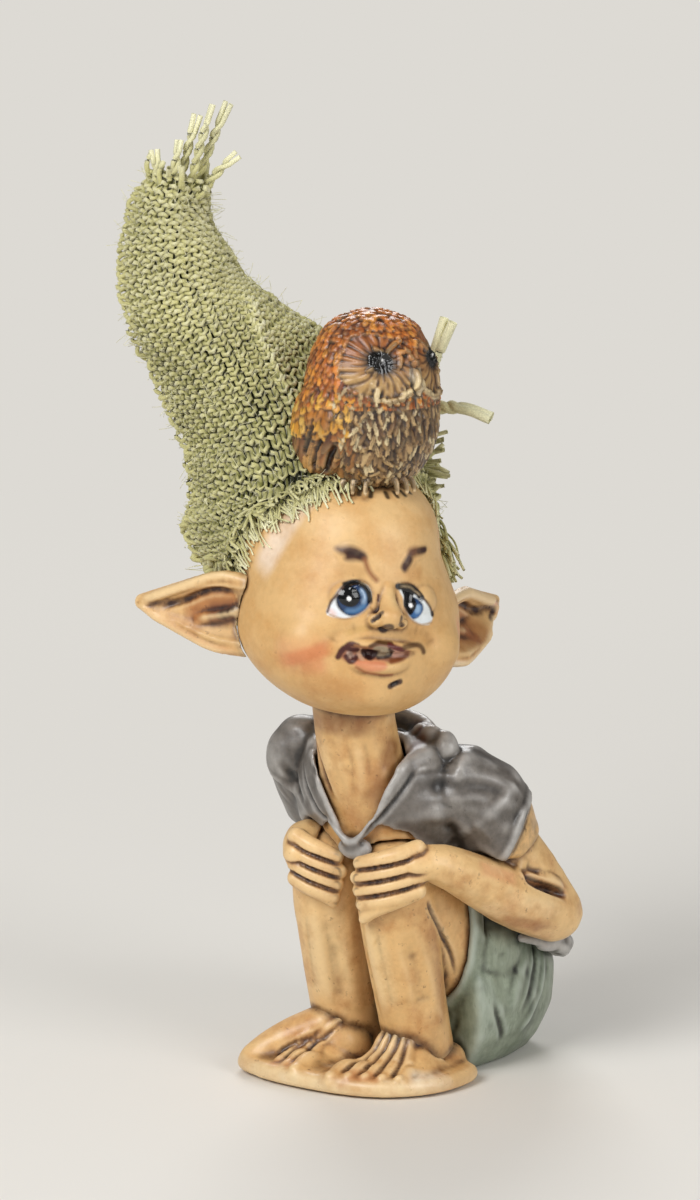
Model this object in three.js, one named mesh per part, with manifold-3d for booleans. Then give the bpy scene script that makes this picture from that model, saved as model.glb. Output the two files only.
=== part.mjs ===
// Seated pixie ornament: painted cast-resin pieces glued together on seats and pegs, with a
// knitted hat glued round the back of the head and a little owl glued on the brow.
// Millimetres, +Z up. The knees point along -Y, +X is the pixie's own left side, and the
// origin lies on the table midway between the ankles.
import * as THREE from "three";
import { mergeVertices } from "three/addons/utils/BufferGeometryUtils.js";
import Module from "manifold-3d";

const wasm = await Module();
wasm.setup();

// Glue lines and seats
const GLUE_GAP = 0.3;
const PEG_RADIUS = 1.8;
const PEG_LENGTH = 4;

// Feet plate
const PLATE_THICK = 2.2;
const PLATE_HALF_WIDTH = 14.5;
const PLATE_FRONT = 13.5;
const INSTEP_HEIGHT = 7.5;
const FOOT_HALF_WIDTH = 6;
const RIGHT_FOOT_SPLAY = 2.4;
const TOE_RADIUS = 1.45;
const TOE_LENGTH = 4.2;
const TOES = 5;

// Legs
const ANKLE_OUT = 5.7;
const ANKLE_RADIUS = 4.3;
const KNEE_OUT = 5.2;
const KNEE_FORWARD = 4.8;
const KNEE_HEIGHT = 28.5;
const KNEE_RADIUS = 5.3;
const SHIN_RADIUS = 4.7;
const THIGH_HALF_WIDTH = 5;
const THIGH_HALF_HEIGHT = 7.6;
const HIP_BACK = 12;
const HIP_HEIGHT = 12.5;
const ANKLE_SEAT = 2.4;

// Trousers
const SEAT_HALF_WIDTH = 11.9;
const SEAT_HALF_HEIGHT = 12.6;
const SEAT_CENTRE_HEIGHT = 8.6;
const SEAT_FRONT = 5.2;
const SEAT_BACK = 28;
const TURN_UP = 0.7;
const TURN_UP_DEPTH = 2.4;

// Shirt
const HEM_HALF_WIDTH = 15;
const HEM_HALF_DEPTH = 13.8;
const HEM_FRONT_HEIGHT = 21.5;
const HEM_SLOPE_DEG = 25;
const CHEST_HALF_WIDTH = 12.4;
const CHEST_HALF_DEPTH = 9.5;
const COLLAR_HEIGHT = 44.6;
const CHEST_DROP = 7.6;
const COLLAR_HALF_WIDTH = 8.8;
const COLLAR_ROLL = 0.7;
const COLLAR_WIDTH = 1.5;
const NECKLINE_HALF_WIDTH = 5.4;
const NECKLINE_DROP = 13.6;
const SHOULDER_OUT = 12.4;
const SHOULDER_DROP = 6.6;
const RIGHT_SHOULDER_LIFT = 2.4;
const RIGHT_SHOULDER_IN = 1.6;
const SLEEVE_RADIUS = 6.1;
const SLEEVE_LENGTH = 9.5;
const TORSO_TURN_DEG = 10;

// Arms
const UPPER_ARM_RADIUS = 4.3;
const ELBOW_OUT = 15.6;
const ELBOW_BACK = 15.2;
const ELBOW_HEIGHT = 20.6;
const WRIST_RADIUS = 3;
const FINGER_RADIUS = 1.1;
const FINGERS = 4;

// Neck
const NECK_RADIUS = 5.3;
const BREAST_HALF_WIDTH = 8;
const BREAST_HALF_DEPTH = 5;
const BREAST_SINK = 1.2;

// Head
const HEAD_HEIGHT = 31;
const HEAD_HALF_WIDTH = 14.3;
const HEAD_HALF_DEPTH = 13.4;
const HEAD_TURN_DEG = 58;
const HEAD_ROLL_DEG = 6.5;
const HEAD_ROLL_HEIGHT = 15;
const HEAD_FORWARD = 7;
const CHIN_RISE = 4.4;
const EYE_OUT = 4.1;
const EYE_RADIUS = 3.5;
const EYE_HEIGHT = 15.2;
const NOSE_HEIGHT = 13.2;
const NOSE_RADIUS = 1.9;
const MOUTH_HALF_WIDTH = 5.2;
const MOUTH_DROP = 4.5;

// Ears
const EAR_LENGTH = 16.5;
const EAR_HALF_HEIGHT = 5.4;
const EAR_THICK = 3;
const EAR_SWEEP_DEG = 50;
const EAR_HEIGHT = 11;
const EAR_DROOP = 0.7;

// Owl
const OWL_HEIGHT = 22.6;
const OWL_HALF_WIDTH = 8.5;
const OWL_HALF_DEPTH = 8.2;
const OWL_TURN_DEG = 22;
const OWL_SINK = 2.4;
const OWL_ASIDE = 1.5;
const OWL_FORWARD = 3.2;
const OWL_EYE_OUT = 3.5;
const OWL_EYE_RADIUS = 1.35;
const OWL_DISC_RADIUS = 3.6;

// Hat
const HAT_WALL = 1.6;
const HAT_SIDE_EASE = 1.5;
const HAT_BACK_EASE = 2;
const HAT_TIP_HALF_WIDTH = 3.6;
const HAT_TIP_HALF_DEPTH = 2.6;
const HAT_RIM_SLOPE_DEG = 47;
const HAT_RIM_HEIGHT = 22.4;
const HAT_NARROWING = 0.36;
const HAT_CLOSED_TIP = 8;
const YARN_RADIUS = 0.75;
const TAIL_RADIUS = 0.7;

const SKIN_FINISH = { color: 0xd9b27c, roughness: 0.38 };
const SHIRT_FINISH = { color: 0x6d6a6b, roughness: 0.45 };
const TROUSER_FINISH = { color: 0x8d9c92, roughness: 0.5 };
const OWL_FINISH = { color: 0xa8642c, roughness: 0.45 };
const WOOL_FINISH = { color: 0xa9ad76, roughness: 0.95 };

const X_AXIS = new THREE.Vector3(1, 0, 0);
const Z_AXIS = new THREE.Vector3(0, 0, 1);
const BOTH_SIDES = [
  { word: "left", sign: 1 },
  { word: "right", sign: -1 },
];
const FAR = 200;

const point = (x, y, z) => new THREE.Vector3(x, y, z);
const radians = THREE.MathUtils.degToRad;

// A closed triangle mesh as a solid that can be joined and cut.
function solid(geometry) {
  const bare = geometry.clone();
  bare.deleteAttribute("normal");
  bare.deleteAttribute("uv");
  const merged = mergeVertices(bare, 1e-4);
  return new wasm.Manifold(
    new wasm.Mesh({
      numProp: 3,
      vertProperties: new Float32Array(merged.attributes.position.array),
      triVerts: new Uint32Array(merged.index.array),
    }),
  );
}

function join(solids) {
  return solids.reduce((sum, next) => sum.add(next));
}

function cut(body, tools) {
  return tools.reduce((left, tool) => left.subtract(tool), body);
}

function geometryOf(body) {
  const { vertProperties, triVerts } = body.getMesh();
  const geometry = new THREE.BufferGeometry();
  geometry.setAttribute("position", new THREE.BufferAttribute(vertProperties, 3));
  geometry.setIndex(new THREE.BufferAttribute(triVerts, 1));
  return geometry;
}

// The same solid seen from another frame.
function moved(body, matrix) {
  return solid(geometryOf(body).applyMatrix4(matrix));
}

// A named mesh of a finished solid, shaded flat.
function piece(name, body, finish) {
  const geometry = geometryOf(body).toNonIndexed();
  geometry.computeVertexNormals();
  const mesh = new THREE.Mesh(geometry, new THREE.MeshStandardMaterial({ metalness: 0, ...finish }));
  mesh.name = name;
  return mesh;
}

// The closed skin over a row of rings that all have the same number of points.
function skin(rings) {
  const count = rings[0].length;
  const middle = (ring) => ring.reduce((sum, p) => sum.add(p), point(0, 0, 0)).divideScalar(count);
  const last = rings[rings.length - 1];
  const vertices = [...rings.flat(), middle(rings[0]), middle(last)];
  const start = rings.length * count;
  const faces = [];
  for (let i = 0; i < count; i++) {
    const next = (i + 1) % count;
    for (let k = 0; k + 1 < rings.length; k++) {
      const low = k * count;
      const high = low + count;
      faces.push(low + i, low + next, high + i, low + next, high + next, high + i);
    }
    const top = (rings.length - 1) * count;
    faces.push(start, next, i, start + 1, top + i, top + next);
  }
  const geometry = new THREE.BufferGeometry().setFromPoints(vertices);
  geometry.setIndex(faces);
  return geometry;
}

// An oval loft along a smooth spine. A station is { at, wide, deep }: its centre and its half
// sizes along `side` and across it. A dome is how far a rounded end stands past its station.
// `grow` makes the form larger all over, for the seat that a neighbour is cut with. `facing` keeps
// every ring square to one direction instead of to the spine, and `egg` narrows one face of it.
const DOME_ANGLES = [36, 70].map(radians);
const LOFT_DEFAULTS = { side: X_AXIS, steps: 12, sides: 16, grow: 0, egg: 0, domes: [0, 0] };
function loftRings(stations, options) {
  const { side, facing, steps, sides, grow, egg, domes } = { ...LOFT_DEFAULTS, ...options };
  const spine = new THREE.CatmullRomCurve3(stations.map((s) => s.at));
  const sizes = new THREE.CatmullRomCurve3(stations.map((s) => point(s.wide, s.deep, 0)));
  const ring = (t, shift, share) => {
    const along = facing ?? spine.getTangent(t);
    const across = side.clone().addScaledVector(along, -side.dot(along)).normalize();
    const over = along.clone().cross(across);
    const size = sizes.getPoint(t);
    const centre = spine.getPoint(t).addScaledVector(along, shift);
    return Array.from({ length: sides }, (_, i) => {
      const angle = (2 * Math.PI * i) / sides;
      return centre
        .clone()
        .addScaledVector(across, (size.x + grow) * share * Math.cos(angle) * (1 + egg * Math.sin(angle)))
        .addScaledVector(over, (size.y + grow) * share * Math.sin(angle));
    });
  };
  const cap = (t, dome) =>
    DOME_ANGLES.map((a) => ring(t, (t ? 1 : -1) * (dome + grow) * Math.sin(a), Math.cos(a)));
  const body = Array.from({ length: steps + 1 }, (_, k) => ring(k / steps, 0, 1));
  const first = domes[0] ? cap(0, domes[0]).reverse() : [];
  const last = domes[1] ? cap(1, domes[1]) : [];
  return [...first, ...body, ...last];
}

function loft(stations, options) {
  return solid(skin(loftRings(stations, options)));
}

// A round bar with domed ends through a few points, thick enough at each.
function finger(points, radii, { grow = 0, steps = 4, sides = 6, side = Z_AXIS } = {}) {
  const stations = points.map((at, i) => ({ at, wide: radii[i], deep: radii[i] }));
  return loft(stations, { side, steps, sides, grow, domes: [radii[0], radii[radii.length - 1]] });
}

// A ball or egg with half sizes along X, Y and Z, turned about Z.
function ball(at, half, turn = 0, round = 10) {
  const geometry = new THREE.SphereGeometry(1, round, Math.round(round * 0.7));
  geometry.scale(half.x, half.y, half.z).rotateZ(turn).translate(at.x, at.y, at.z);
  return solid(geometry);
}

// A glue peg along an axis, and with `grow` its socket.
function peg(at, axis, length, grow = 0) {
  const radius = PEG_RADIUS + grow;
  const geometry = new THREE.CylinderGeometry(radius, radius, length + 2 * grow, 12);
  geometry.applyQuaternion(new THREE.Quaternion().setFromUnitVectors(point(0, 1, 0), axis));
  geometry.translate(at.x, at.y, at.z);
  return solid(geometry);
}

// Everything below a plane through `at` that slopes about X, for level and sloping cuts.
function below(at, slope = 0) {
  const geometry = new THREE.BoxGeometry(FAR, FAR, FAR).translate(0, 0, -FAR / 2);
  geometry.rotateX(slope).translate(at.x, at.y, at.z);
  return solid(geometry);
}

const TABLE = below(point(0, 0, 0));
const CHEST_HEIGHT = COLLAR_HEIGHT - CHEST_DROP;
const SHOULDER_HEIGHT = COLLAR_HEIGHT - SHOULDER_DROP;
const NECKLINE_BOTTOM = COLLAR_HEIGHT - NECKLINE_DROP;
const CHIN_HEIGHT = COLLAR_HEIGHT + CHIN_RISE;

// Legs: bare shin and thigh, folded at the knee. The ankle ends in a socket of the feet plate,
// and the thigh ends in a socket of the trousers.
const kneeAt = (out) => point(out, -KNEE_FORWARD, KNEE_HEIGHT);
function shin(sign, grow) {
  const knee = kneeAt(sign * KNEE_OUT);
  const ankle = point(sign * ANKLE_OUT, 0.4, ANKLE_SEAT);
  const calf = (share) => ankle.clone().lerp(knee, share).add(point(0, -0.6, 0));
  const rows = [
    { at: ankle, wide: ANKLE_RADIUS, deep: ANKLE_RADIUS * 1.1 },
    { at: calf(0.35), wide: SHIN_RADIUS, deep: SHIN_RADIUS },
    { at: calf(0.75), wide: KNEE_RADIUS * 0.96, deep: KNEE_RADIUS },
    { at: knee, wide: KNEE_RADIUS, deep: KNEE_RADIUS },
  ];
  return loft(rows, { grow, steps: 7, sides: 14, domes: [0, KNEE_RADIUS * 0.75] });
}

function thigh(out, grow) {
  const knee = kneeAt(out);
  const hip = point(out * 1.08, HIP_BACK, HIP_HEIGHT);
  const rows = [
    { at: knee, wide: KNEE_RADIUS * 0.95, deep: KNEE_RADIUS * 0.95 },
    { at: knee.clone().lerp(hip, 0.4), wide: THIGH_HALF_WIDTH * 1.02, deep: THIGH_HALF_HEIGHT * 0.9 },
    { at: hip, wide: THIGH_HALF_WIDTH, deep: THIGH_HALF_HEIGHT },
  ];
  return loft(rows, { grow, steps: 5, sides: 14, domes: [KNEE_RADIUS * 0.5, 0] });
}

function leg(sign, grow = 0) {
  const whole = shin(sign, grow).add(thigh(sign * KNEE_OUT, grow));
  const inner = GLUE_GAP / 2 - grow;
  const middle = new THREE.BoxGeometry(FAR, FAR, FAR).translate(sign * (inner - FAR / 2), 0, 0);
  return cut(whole, [solid(middle), below(point(0, 0, ANKLE_SEAT - grow))]);
}

// Feet plate: a thin slab with a rounded outline that carries two broad feet and their toes.
function feetPlate() {
  const outline = [
    [0.34, -1.01],
    [-0.17, -1.08],
    [-0.61, -1.06],
    [-1.03, -0.92],
    [-1.13, -0.62],
    [-0.98, -0.12],
    [-0.7, 0.23],
    [0, 0.35],
    [0.84, 0.3],
    [0.94, -0.05],
    [0.89, -0.48],
    [0.66, -0.83],
  ].map(([x, y]) => point(x * PLATE_HALF_WIDTH, y * PLATE_FRONT, 0));
  const closed = new THREE.CatmullRomCurve3(outline, true);
  const rim = closed.getPoints(28).slice(0, -1).reverse();
  const middle = point(0, -0.35 * PLATE_FRONT, 0);
  const level = (height, share) =>
    rim.map((p) => middle.clone().lerp(p, share).setZ(height));
  const slab = solid(
    skin([level(0, 0.975), level(0.5, 1), level(PLATE_THICK * 0.7, 1), level(PLATE_THICK, 0.96)]),
  );
  const feet = BOTH_SIDES.map(({ sign }) => foot(sign));
  return cut(join([slab, ...feet]), [TABLE, ...BOTH_SIDES.map(({ sign }) => leg(sign, GLUE_GAP))]);
}

function foot(sign) {
  const heel = point(sign * ANKLE_OUT, 1.4, 0.5);
  const splay = sign > 0 ? 0 : -RIGHT_FOOT_SPLAY;
  const toe = point(sign * ANKLE_OUT + splay, -PLATE_FRONT * 0.66, 0.5);
  const arch = loft(
    [
      { at: heel, wide: FOOT_HALF_WIDTH * 0.86, deep: INSTEP_HEIGHT * 0.95 },
      { at: heel.clone().lerp(toe, 0.35), wide: FOOT_HALF_WIDTH * 0.9, deep: INSTEP_HEIGHT * 0.92 },
      { at: heel.clone().lerp(toe, 0.72), wide: FOOT_HALF_WIDTH, deep: INSTEP_HEIGHT * 0.62 },
      { at: toe, wide: FOOT_HALF_WIDTH * 0.94, deep: INSTEP_HEIGHT * 0.42 },
    ],
    { steps: 6, sides: 14, domes: [2.4, 2.2] },
  );
  const spread = (2 * FOOT_HALF_WIDTH * 0.8) / TOES;
  const toes = Array.from({ length: TOES }, (_, i) => {
    const out = sign * (i - (TOES - 1) / 2) * spread;
    const size = TOE_RADIUS * (1.22 - 0.09 * i);
    const root = point(toe.x + out * 0.94, toe.y + 0.9 + 0.6 * i, PLATE_THICK * 0.8);
    const tip = point(toe.x + out * 1.04, toe.y - TOE_LENGTH + 0.95 * i, PLATE_THICK * 0.7);
    const bend = root.clone().lerp(tip, 0.5).add(point(0, 0, 0.35));
    return finger([root, bend, tip], [size, size, size * 0.94], { steps: 3 });
  });
  return join([arch, ...toes]);
}

// Trousers: the rounded seat of short trousers, with a turned-up hem round each thigh.
function seat(grow = 0) {
  const middle = 0.6 * SEAT_FRONT + 0.4 * SEAT_BACK;
  const at = (y, rise) => point(0, y, SEAT_CENTRE_HEIGHT + rise);
  return loft(
    [
      { at: at(SEAT_FRONT, 0), wide: SEAT_HALF_WIDTH, deep: SEAT_HALF_HEIGHT * 0.94 },
      { at: at(middle, 0.6), wide: SEAT_HALF_WIDTH * 1.02, deep: SEAT_HALF_HEIGHT },
      { at: at(SEAT_BACK - 7, 0.2), wide: SEAT_HALF_WIDTH * 0.9, deep: SEAT_HALF_HEIGHT * 0.92 },
    ],
    { grow, steps: 6, sides: 20, domes: [0, 7] },
  );
}

function turnUp(sign, grow = 0) {
  const roll = thigh(sign * KNEE_OUT, TURN_UP + grow);
  const slice = new THREE.BoxGeometry(FAR, TURN_UP_DEPTH + 2 * grow, FAR);
  return roll.intersect(solid(slice.translate(0, SEAT_FRONT, 0)));
}

function trousers() {
  const hems = BOTH_SIDES.map(({ sign }) => turnUp(sign));
  const legs = BOTH_SIDES.map(({ sign }) => leg(sign, GLUE_GAP));
  return cut(join([seat(), ...hems]), [TABLE, ...legs]);
}

// Neck and breast: the bare skin inside the shirt's neckline, its top end seated in the head.
const headSeat = point(0, -HEAD_FORWARD, CHIN_HEIGHT);
function neck(grow = 0) {
  const breast = BREAST_HALF_DEPTH + BREAST_SINK - CHEST_HALF_DEPTH - 0.6;
  const deep = BREAST_HALF_DEPTH;
  return loft(
    [
      { at: point(0.4, breast + 1.1, NECKLINE_BOTTOM - 2), wide: BREAST_HALF_WIDTH * 0.9, deep },
      { at: point(0.4, breast, NECKLINE_BOTTOM + 5), wide: BREAST_HALF_WIDTH, deep },
      { at: point(0.3, 1.6 - HEAD_FORWARD, COLLAR_HEIGHT - 3), wide: NECK_RADIUS + 0.5, deep: NECK_RADIUS },
      { at: point(0.1, -HEAD_FORWARD + 0.4, CHIN_HEIGHT - 1.5), wide: NECK_RADIUS, deep: NECK_RADIUS },
      { at: point(0, -HEAD_FORWARD, CHIN_HEIGHT + 2.5), wide: NECK_RADIUS * 1.02, deep: NECK_RADIUS },
    ],
    { grow, steps: 7, sides: 14 },
  );
}

// Arms: each upper arm seats in a sleeve, the forearm comes forward and the hand lies round a
// knee. The left hand holds the outer side of its knee, the right hand the front.
const LEFT_GRIP = { knuckle: 24, spread: 80, wrist: -18, reach: 2.7, rise: 0.4, high: 3.4, drop: 1.2 };
const RIGHT_GRIP = { knuckle: 82, spread: 58, wrist: 46, reach: -2.4, rise: 2.2, high: 3.2, drop: 0.8 };
const gripOf = (sign) => (sign > 0 ? LEFT_GRIP : RIGHT_GRIP);
function torsoPoint(out, forward, height) {
  return point(out, -forward, 0)
    .applyAxisAngle(Z_AXIS, radians(TORSO_TURN_DEG))
    .add(point(-0.6, 1.4, height));
}

function aroundKnee(sign, degrees, reach, rise) {
  const turn = radians(degrees);
  const away = point(sign * Math.cos(turn), -Math.sin(turn), 0);
  return kneeAt(sign * KNEE_OUT).addScaledVector(away, KNEE_RADIUS + reach).add(point(0, 0, rise));
}

function armPoints(sign) {
  const shoulder =
    sign > 0
      ? torsoPoint(SHOULDER_OUT, 0, SHOULDER_HEIGHT)
      : torsoPoint(RIGHT_SHOULDER_IN - SHOULDER_OUT, 0, SHOULDER_HEIGHT + RIGHT_SHOULDER_LIFT);
  const elbow = point(sign * ELBOW_OUT, ELBOW_BACK, ELBOW_HEIGHT);
  const down = elbow.clone().sub(shoulder).normalize();
  const hem = shoulder.clone().addScaledVector(down, SLEEVE_LENGTH);
  const grip = gripOf(sign);
  const wrist = aroundKnee(sign, grip.wrist, grip.reach, grip.rise);
  return { shoulder, elbow, hem, grip, wrist };
}

function limb(sign, grow = 0) {
  const { shoulder, elbow, wrist } = armPoints(sign);
  const r = UPPER_ARM_RADIUS;
  const upper = finger(
    [shoulder.clone().lerp(elbow, 0.28), shoulder.clone().lerp(elbow, 0.65), elbow],
    [r * 0.9, r, r * 0.98],
    { grow, sides: 9 },
  );
  const lower = finger(
    [elbow, elbow.clone().lerp(wrist, 0.4).add(point(sign * 0.8, 0, -0.6)), wrist],
    [r * 0.98, r * 0.96, WRIST_RADIUS],
    { grow, steps: 5, sides: 9 },
  );
  return upper.add(lower);
}

function hand(sign, grow) {
  const { wrist, grip } = armPoints(sign);
  const knuckle = aroundKnee(sign, grip.knuckle, FINGER_RADIUS * 0.6, grip.high - 1.8);
  const palm = finger(
    [wrist, wrist.clone().lerp(knuckle, 0.6).add(point(0, 0, 0.5)), knuckle],
    [WRIST_RADIUS, WRIST_RADIUS * 0.9, WRIST_RADIUS * 0.68],
    { grow, steps: 3, sides: 8 },
  );
  const fingers = Array.from({ length: FINGERS }, (_, i) => {
    const high = grip.high - i * 1.65 * FINGER_RADIUS;
    const path = [0, 0.37, 0.7, 1 - 0.07 * Math.abs(i - 1)].map((share, k) =>
      aroundKnee(sign, grip.knuckle + share * grip.spread, FINGER_RADIUS * 0.6, high - grip.drop * k),
    );
    return finger(path, [1.1, 1.05, 1, 0.88].map((s) => s * FINGER_RADIUS), { grow });
  });
  return join([palm, ...fingers]);
}

function arm(sign, grow = 0) {
  return limb(sign, grow).add(hand(sign, grow));
}

// Shirt: the bent back, two short flared sleeves, a V neckline with a rolled edge, and a hem
// that rises towards the front.
function torso(grow = 0) {
  return loft(
    [
      { at: point(0, 17.6, 6), wide: HEM_HALF_WIDTH, deep: HEM_HALF_DEPTH },
      { at: point(0, 14.5, 19), wide: HEM_HALF_WIDTH * 0.97, deep: HEM_HALF_DEPTH * 0.93 },
      { at: torsoPoint(0, -5.5, 30), wide: CHEST_HALF_WIDTH * 1.05, deep: CHEST_HALF_DEPTH * 1.1 },
      { at: torsoPoint(0, 2, CHEST_HEIGHT), wide: CHEST_HALF_WIDTH, deep: CHEST_HALF_DEPTH },
      { at: torsoPoint(0, 4.6, COLLAR_HEIGHT), wide: COLLAR_HALF_WIDTH, deep: COLLAR_HALF_WIDTH * 0.84 },
    ],
    { grow, steps: 10, sides: 20 },
  );
}

function sleeve(sign) {
  const { shoulder, hem } = armPoints(sign);
  const inside = shoulder.clone().lerp(torsoPoint(0, 0, SHOULDER_HEIGHT), 0.42);
  return loft(
    [
      { at: inside, wide: SLEEVE_RADIUS * 0.9, deep: SLEEVE_RADIUS * 0.9 },
      { at: shoulder, wide: SLEEVE_RADIUS * 0.96, deep: SLEEVE_RADIUS * 0.96 },
      { at: hem, wide: SLEEVE_RADIUS, deep: SLEEVE_RADIUS * 1.05 },
    ],
    { side: Z_AXIS, steps: 5, sides: 14, domes: [2, 0] },
  );
}

// The neckline is a V seen from the front, cut back to the breast.
function neckline(wider = 0) {
  const depth = 30;
  const half = NECKLINE_HALF_WIDTH + wider;
  const bottom = NECKLINE_BOTTOM - wider;
  const vee = new THREE.Shape([
    new THREE.Vector2(-half, COLLAR_HEIGHT + 6),
    new THREE.Vector2(-half, COLLAR_HEIGHT - 3),
    new THREE.Vector2(-0.5, bottom),
    new THREE.Vector2(0.5, bottom),
    new THREE.Vector2(half, COLLAR_HEIGHT - 3),
    new THREE.Vector2(half, COLLAR_HEIGHT + 6),
  ]);
  const geometry = new THREE.ExtrudeGeometry(vee, { depth, bevelEnabled: false });
  geometry.rotateX(Math.PI / 2).translate(0.4, -HEAD_FORWARD + 2.5, 0);
  geometry.rotateZ(radians(TORSO_TURN_DEG));
  return solid(geometry);
}

// The turned edge of the cloth, which stands up all round the V.
function collar() {
  return torso(COLLAR_ROLL).intersect(neckline(COLLAR_WIDTH));
}

function shirt() {
  const hemLine = below(point(0, 5, HEM_FRONT_HEIGHT), radians(-HEM_SLOPE_DEG));
  const lap = new THREE.BoxGeometry(FAR, FAR, FAR);
  lap.translate(0, SEAT_FRONT - FAR / 2, NECKLINE_BOTTOM - 1.7 - FAR / 2);
  const sleeves = BOTH_SIDES.map(({ sign }) => sleeve(sign));
  const body = cut(torso().add(collar()), [neckline()]);
  return cut(join([body, ...sleeves]), [
    hemLine,
    solid(lap),
    neck(GLUE_GAP),
    seat(GLUE_GAP),
    thigh(0, GLUE_GAP),
    ...BOTH_SIDES.flatMap(({ sign }) => [leg, turnUp, arm].map((form) => form(sign, GLUE_GAP))),
  ]);
}

// Head, in its own frame: the face looks along -Y and the origin is under the chin.
const MOUTH_HEIGHT = NOSE_HEIGHT - MOUTH_DROP;
const SKULL_ROWS = [
  { up: 0.035, back: -0.26, wide: 0.45, deep: 0.48 },
  { up: 0.13, back: -0.15, wide: 0.79, deep: 0.82 },
  { up: 0.27, back: -0.04, wide: 0.99, deep: 0.98 },
  { up: 0.45, back: 0, wide: 0.97, deep: 1 },
  { up: 0.65, back: 0.04, wide: 0.86, deep: 0.95 },
  { up: 0.84, back: 0.08, wide: 0.75, deep: 0.86 },
  { up: 0.96, back: 0.09, wide: 0.47, deep: 0.54 },
];
function skull(grow = 0) {
  const stations = SKULL_ROWS.map((row) => ({
    at: point(0, row.back * HEAD_HALF_DEPTH, row.up * HEAD_HEIGHT),
    wide: row.wide * HEAD_HALF_WIDTH,
    deep: row.deep * HEAD_HALF_DEPTH,
  }));
  const domes = [0.03 * HEAD_HEIGHT, 0.04 * HEAD_HEIGHT];
  return loft(stations, { facing: Z_AXIS, steps: 11, sides: 20, grow, domes });
}

// How far the face stands in front of the head's axis at a height, as the skull's rows give it.
function faceFront(height) {
  const up = height / HEAD_HEIGHT;
  const after = SKULL_ROWS.findIndex((row) => row.up > up);
  const low = SKULL_ROWS[after - 1];
  const high = SKULL_ROWS[after];
  const share = (up - low.up) / (high.up - low.up);
  const front = (row) => (row.deep - row.back) * HEAD_HALF_DEPTH;
  return front(low) + share * (front(high) - front(low));
}

function faceFeatures() {
  const front = (height, out = 0) => -faceFront(height) + (0.5 * out * out) / HEAD_HALF_WIDTH;
  const pairs = BOTH_SIDES.flatMap(({ sign }) => {
    const eye = point(sign * EYE_OUT, front(EYE_HEIGHT, EYE_OUT) + EYE_RADIUS * 0.66, EYE_HEIGHT);
    const brow = [
      [1.6, 3.4],
      [4.4, 5.4],
      [7.6, 4.3],
    ].map(([out, up]) => point(sign * out, front(EYE_HEIGHT + up, out) - 0.1, EYE_HEIGHT + up));
    const wing = point(sign * 0.75 * NOSE_RADIUS, front(NOSE_HEIGHT) + 0.3, NOSE_HEIGHT - 0.6);
    return [
      ball(eye, point(EYE_RADIUS, EYE_RADIUS, EYE_RADIUS * 0.85)),
      finger(brow, [0.7, 0.95, 0.5]),
      ball(wing, point(1.4, 2.2, 1), 0, 8),
    ];
  });
  const bridge = point(0, front(EYE_HEIGHT) + 0.8, EYE_HEIGHT);
  const tip = point(0, front(NOSE_HEIGHT) - NOSE_RADIUS * 0.9, NOSE_HEIGHT);
  const nose = finger([bridge, bridge.clone().lerp(tip, 0.5).add(point(0, 0.2, 0)), tip], [
    NOSE_RADIUS * 0.6,
    NOSE_RADIUS * 0.75,
    NOSE_RADIUS,
  ]);
  const chin = ball(point(0, front(MOUTH_HEIGHT - 4.4) + 2.4, MOUTH_HEIGHT - 4.6), point(4.2, 3.2, 2.4));
  return join([...pairs, nose, chin]);
}

// The open smile: a slit with its corners turned up, between two full lips.
function smile(rise, radius, setBack) {
  const w = MOUTH_HALF_WIDTH;
  const curve = [-1, -0.55, 0, 0.55, 1].map((x) =>
    point(
      x * w,
      -faceFront(MOUTH_HEIGHT + rise) + 0.45 * ((x * w) ** 2 / HEAD_HALF_WIDTH) + setBack,
      MOUTH_HEIGHT + rise + (1.5 - rise) * x * x,
    ),
  );
  return finger(curve, [0.5, 0.9, 1, 0.9, 0.5].map((s) => s * radius), { steps: 6 });
}

function head(neckSeat, owlPeg) {
  const lips = [smile(1, 0.9, 0.2), smile(-1.6, 1.1, 0.3)];
  const nostrils = BOTH_SIDES.map(({ sign }) => {
    const at = point(sign * 0.9, -faceFront(NOSE_HEIGHT) - 1.1, NOSE_HEIGHT - 1.6);
    return ball(at, point(0.45, 0.55, 0.55), 0, 8);
  });
  const form = join([skull(), faceFeatures(), ...lips]);
  return cut(form, [smile(-0.25, 0.75, -0.4), ...nostrils, neckSeat, owlPeg]);
}

// Ears: long leaf shapes swept back, hollowed in front, glued flat against the head.
function ear(sign, grow = 0) {
  const sweep = radians(EAR_SWEEP_DEG);
  const out = point(sign * Math.cos(sweep), Math.sin(sweep), 0);
  const root = point(sign * HEAD_HALF_WIDTH * 0.88, 1.2, EAR_HEIGHT);
  const along = (share, rise) =>
    root.clone().addScaledVector(out, share * EAR_LENGTH).add(point(0, 0, rise));
  const leaf = (fill, shift) =>
    loft(
      [
        { at: along(0, 0), wide: EAR_HALF_HEIGHT * fill, deep: EAR_THICK * 0.5 },
        { at: along(0.3, -EAR_DROOP * 0.1), wide: EAR_HALF_HEIGHT * fill, deep: EAR_THICK * 0.5 },
        { at: along(0.65, -EAR_DROOP * 0.5), wide: EAR_HALF_HEIGHT * 0.62 * fill, deep: EAR_THICK * 0.42 },
        { at: along(1, -EAR_DROOP), wide: 1.1 * fill, deep: 0.9 },
      ].map((s) => ({ ...s, at: s.at.add(shift) })),
      { side: Z_AXIS, steps: 7, sides: 12, grow, domes: [0.8, 0.9] },
    );
  const whole = leaf(1, point(0, 0, 0));
  if (grow) return whole;
  const facing = point(sign * Math.sin(sweep), -Math.cos(sweep), 0);
  const bowl = leaf(0.68, facing.multiplyScalar(EAR_THICK * 0.5));
  return cut(whole, [bowl, skull(GLUE_GAP)]);
}

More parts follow.
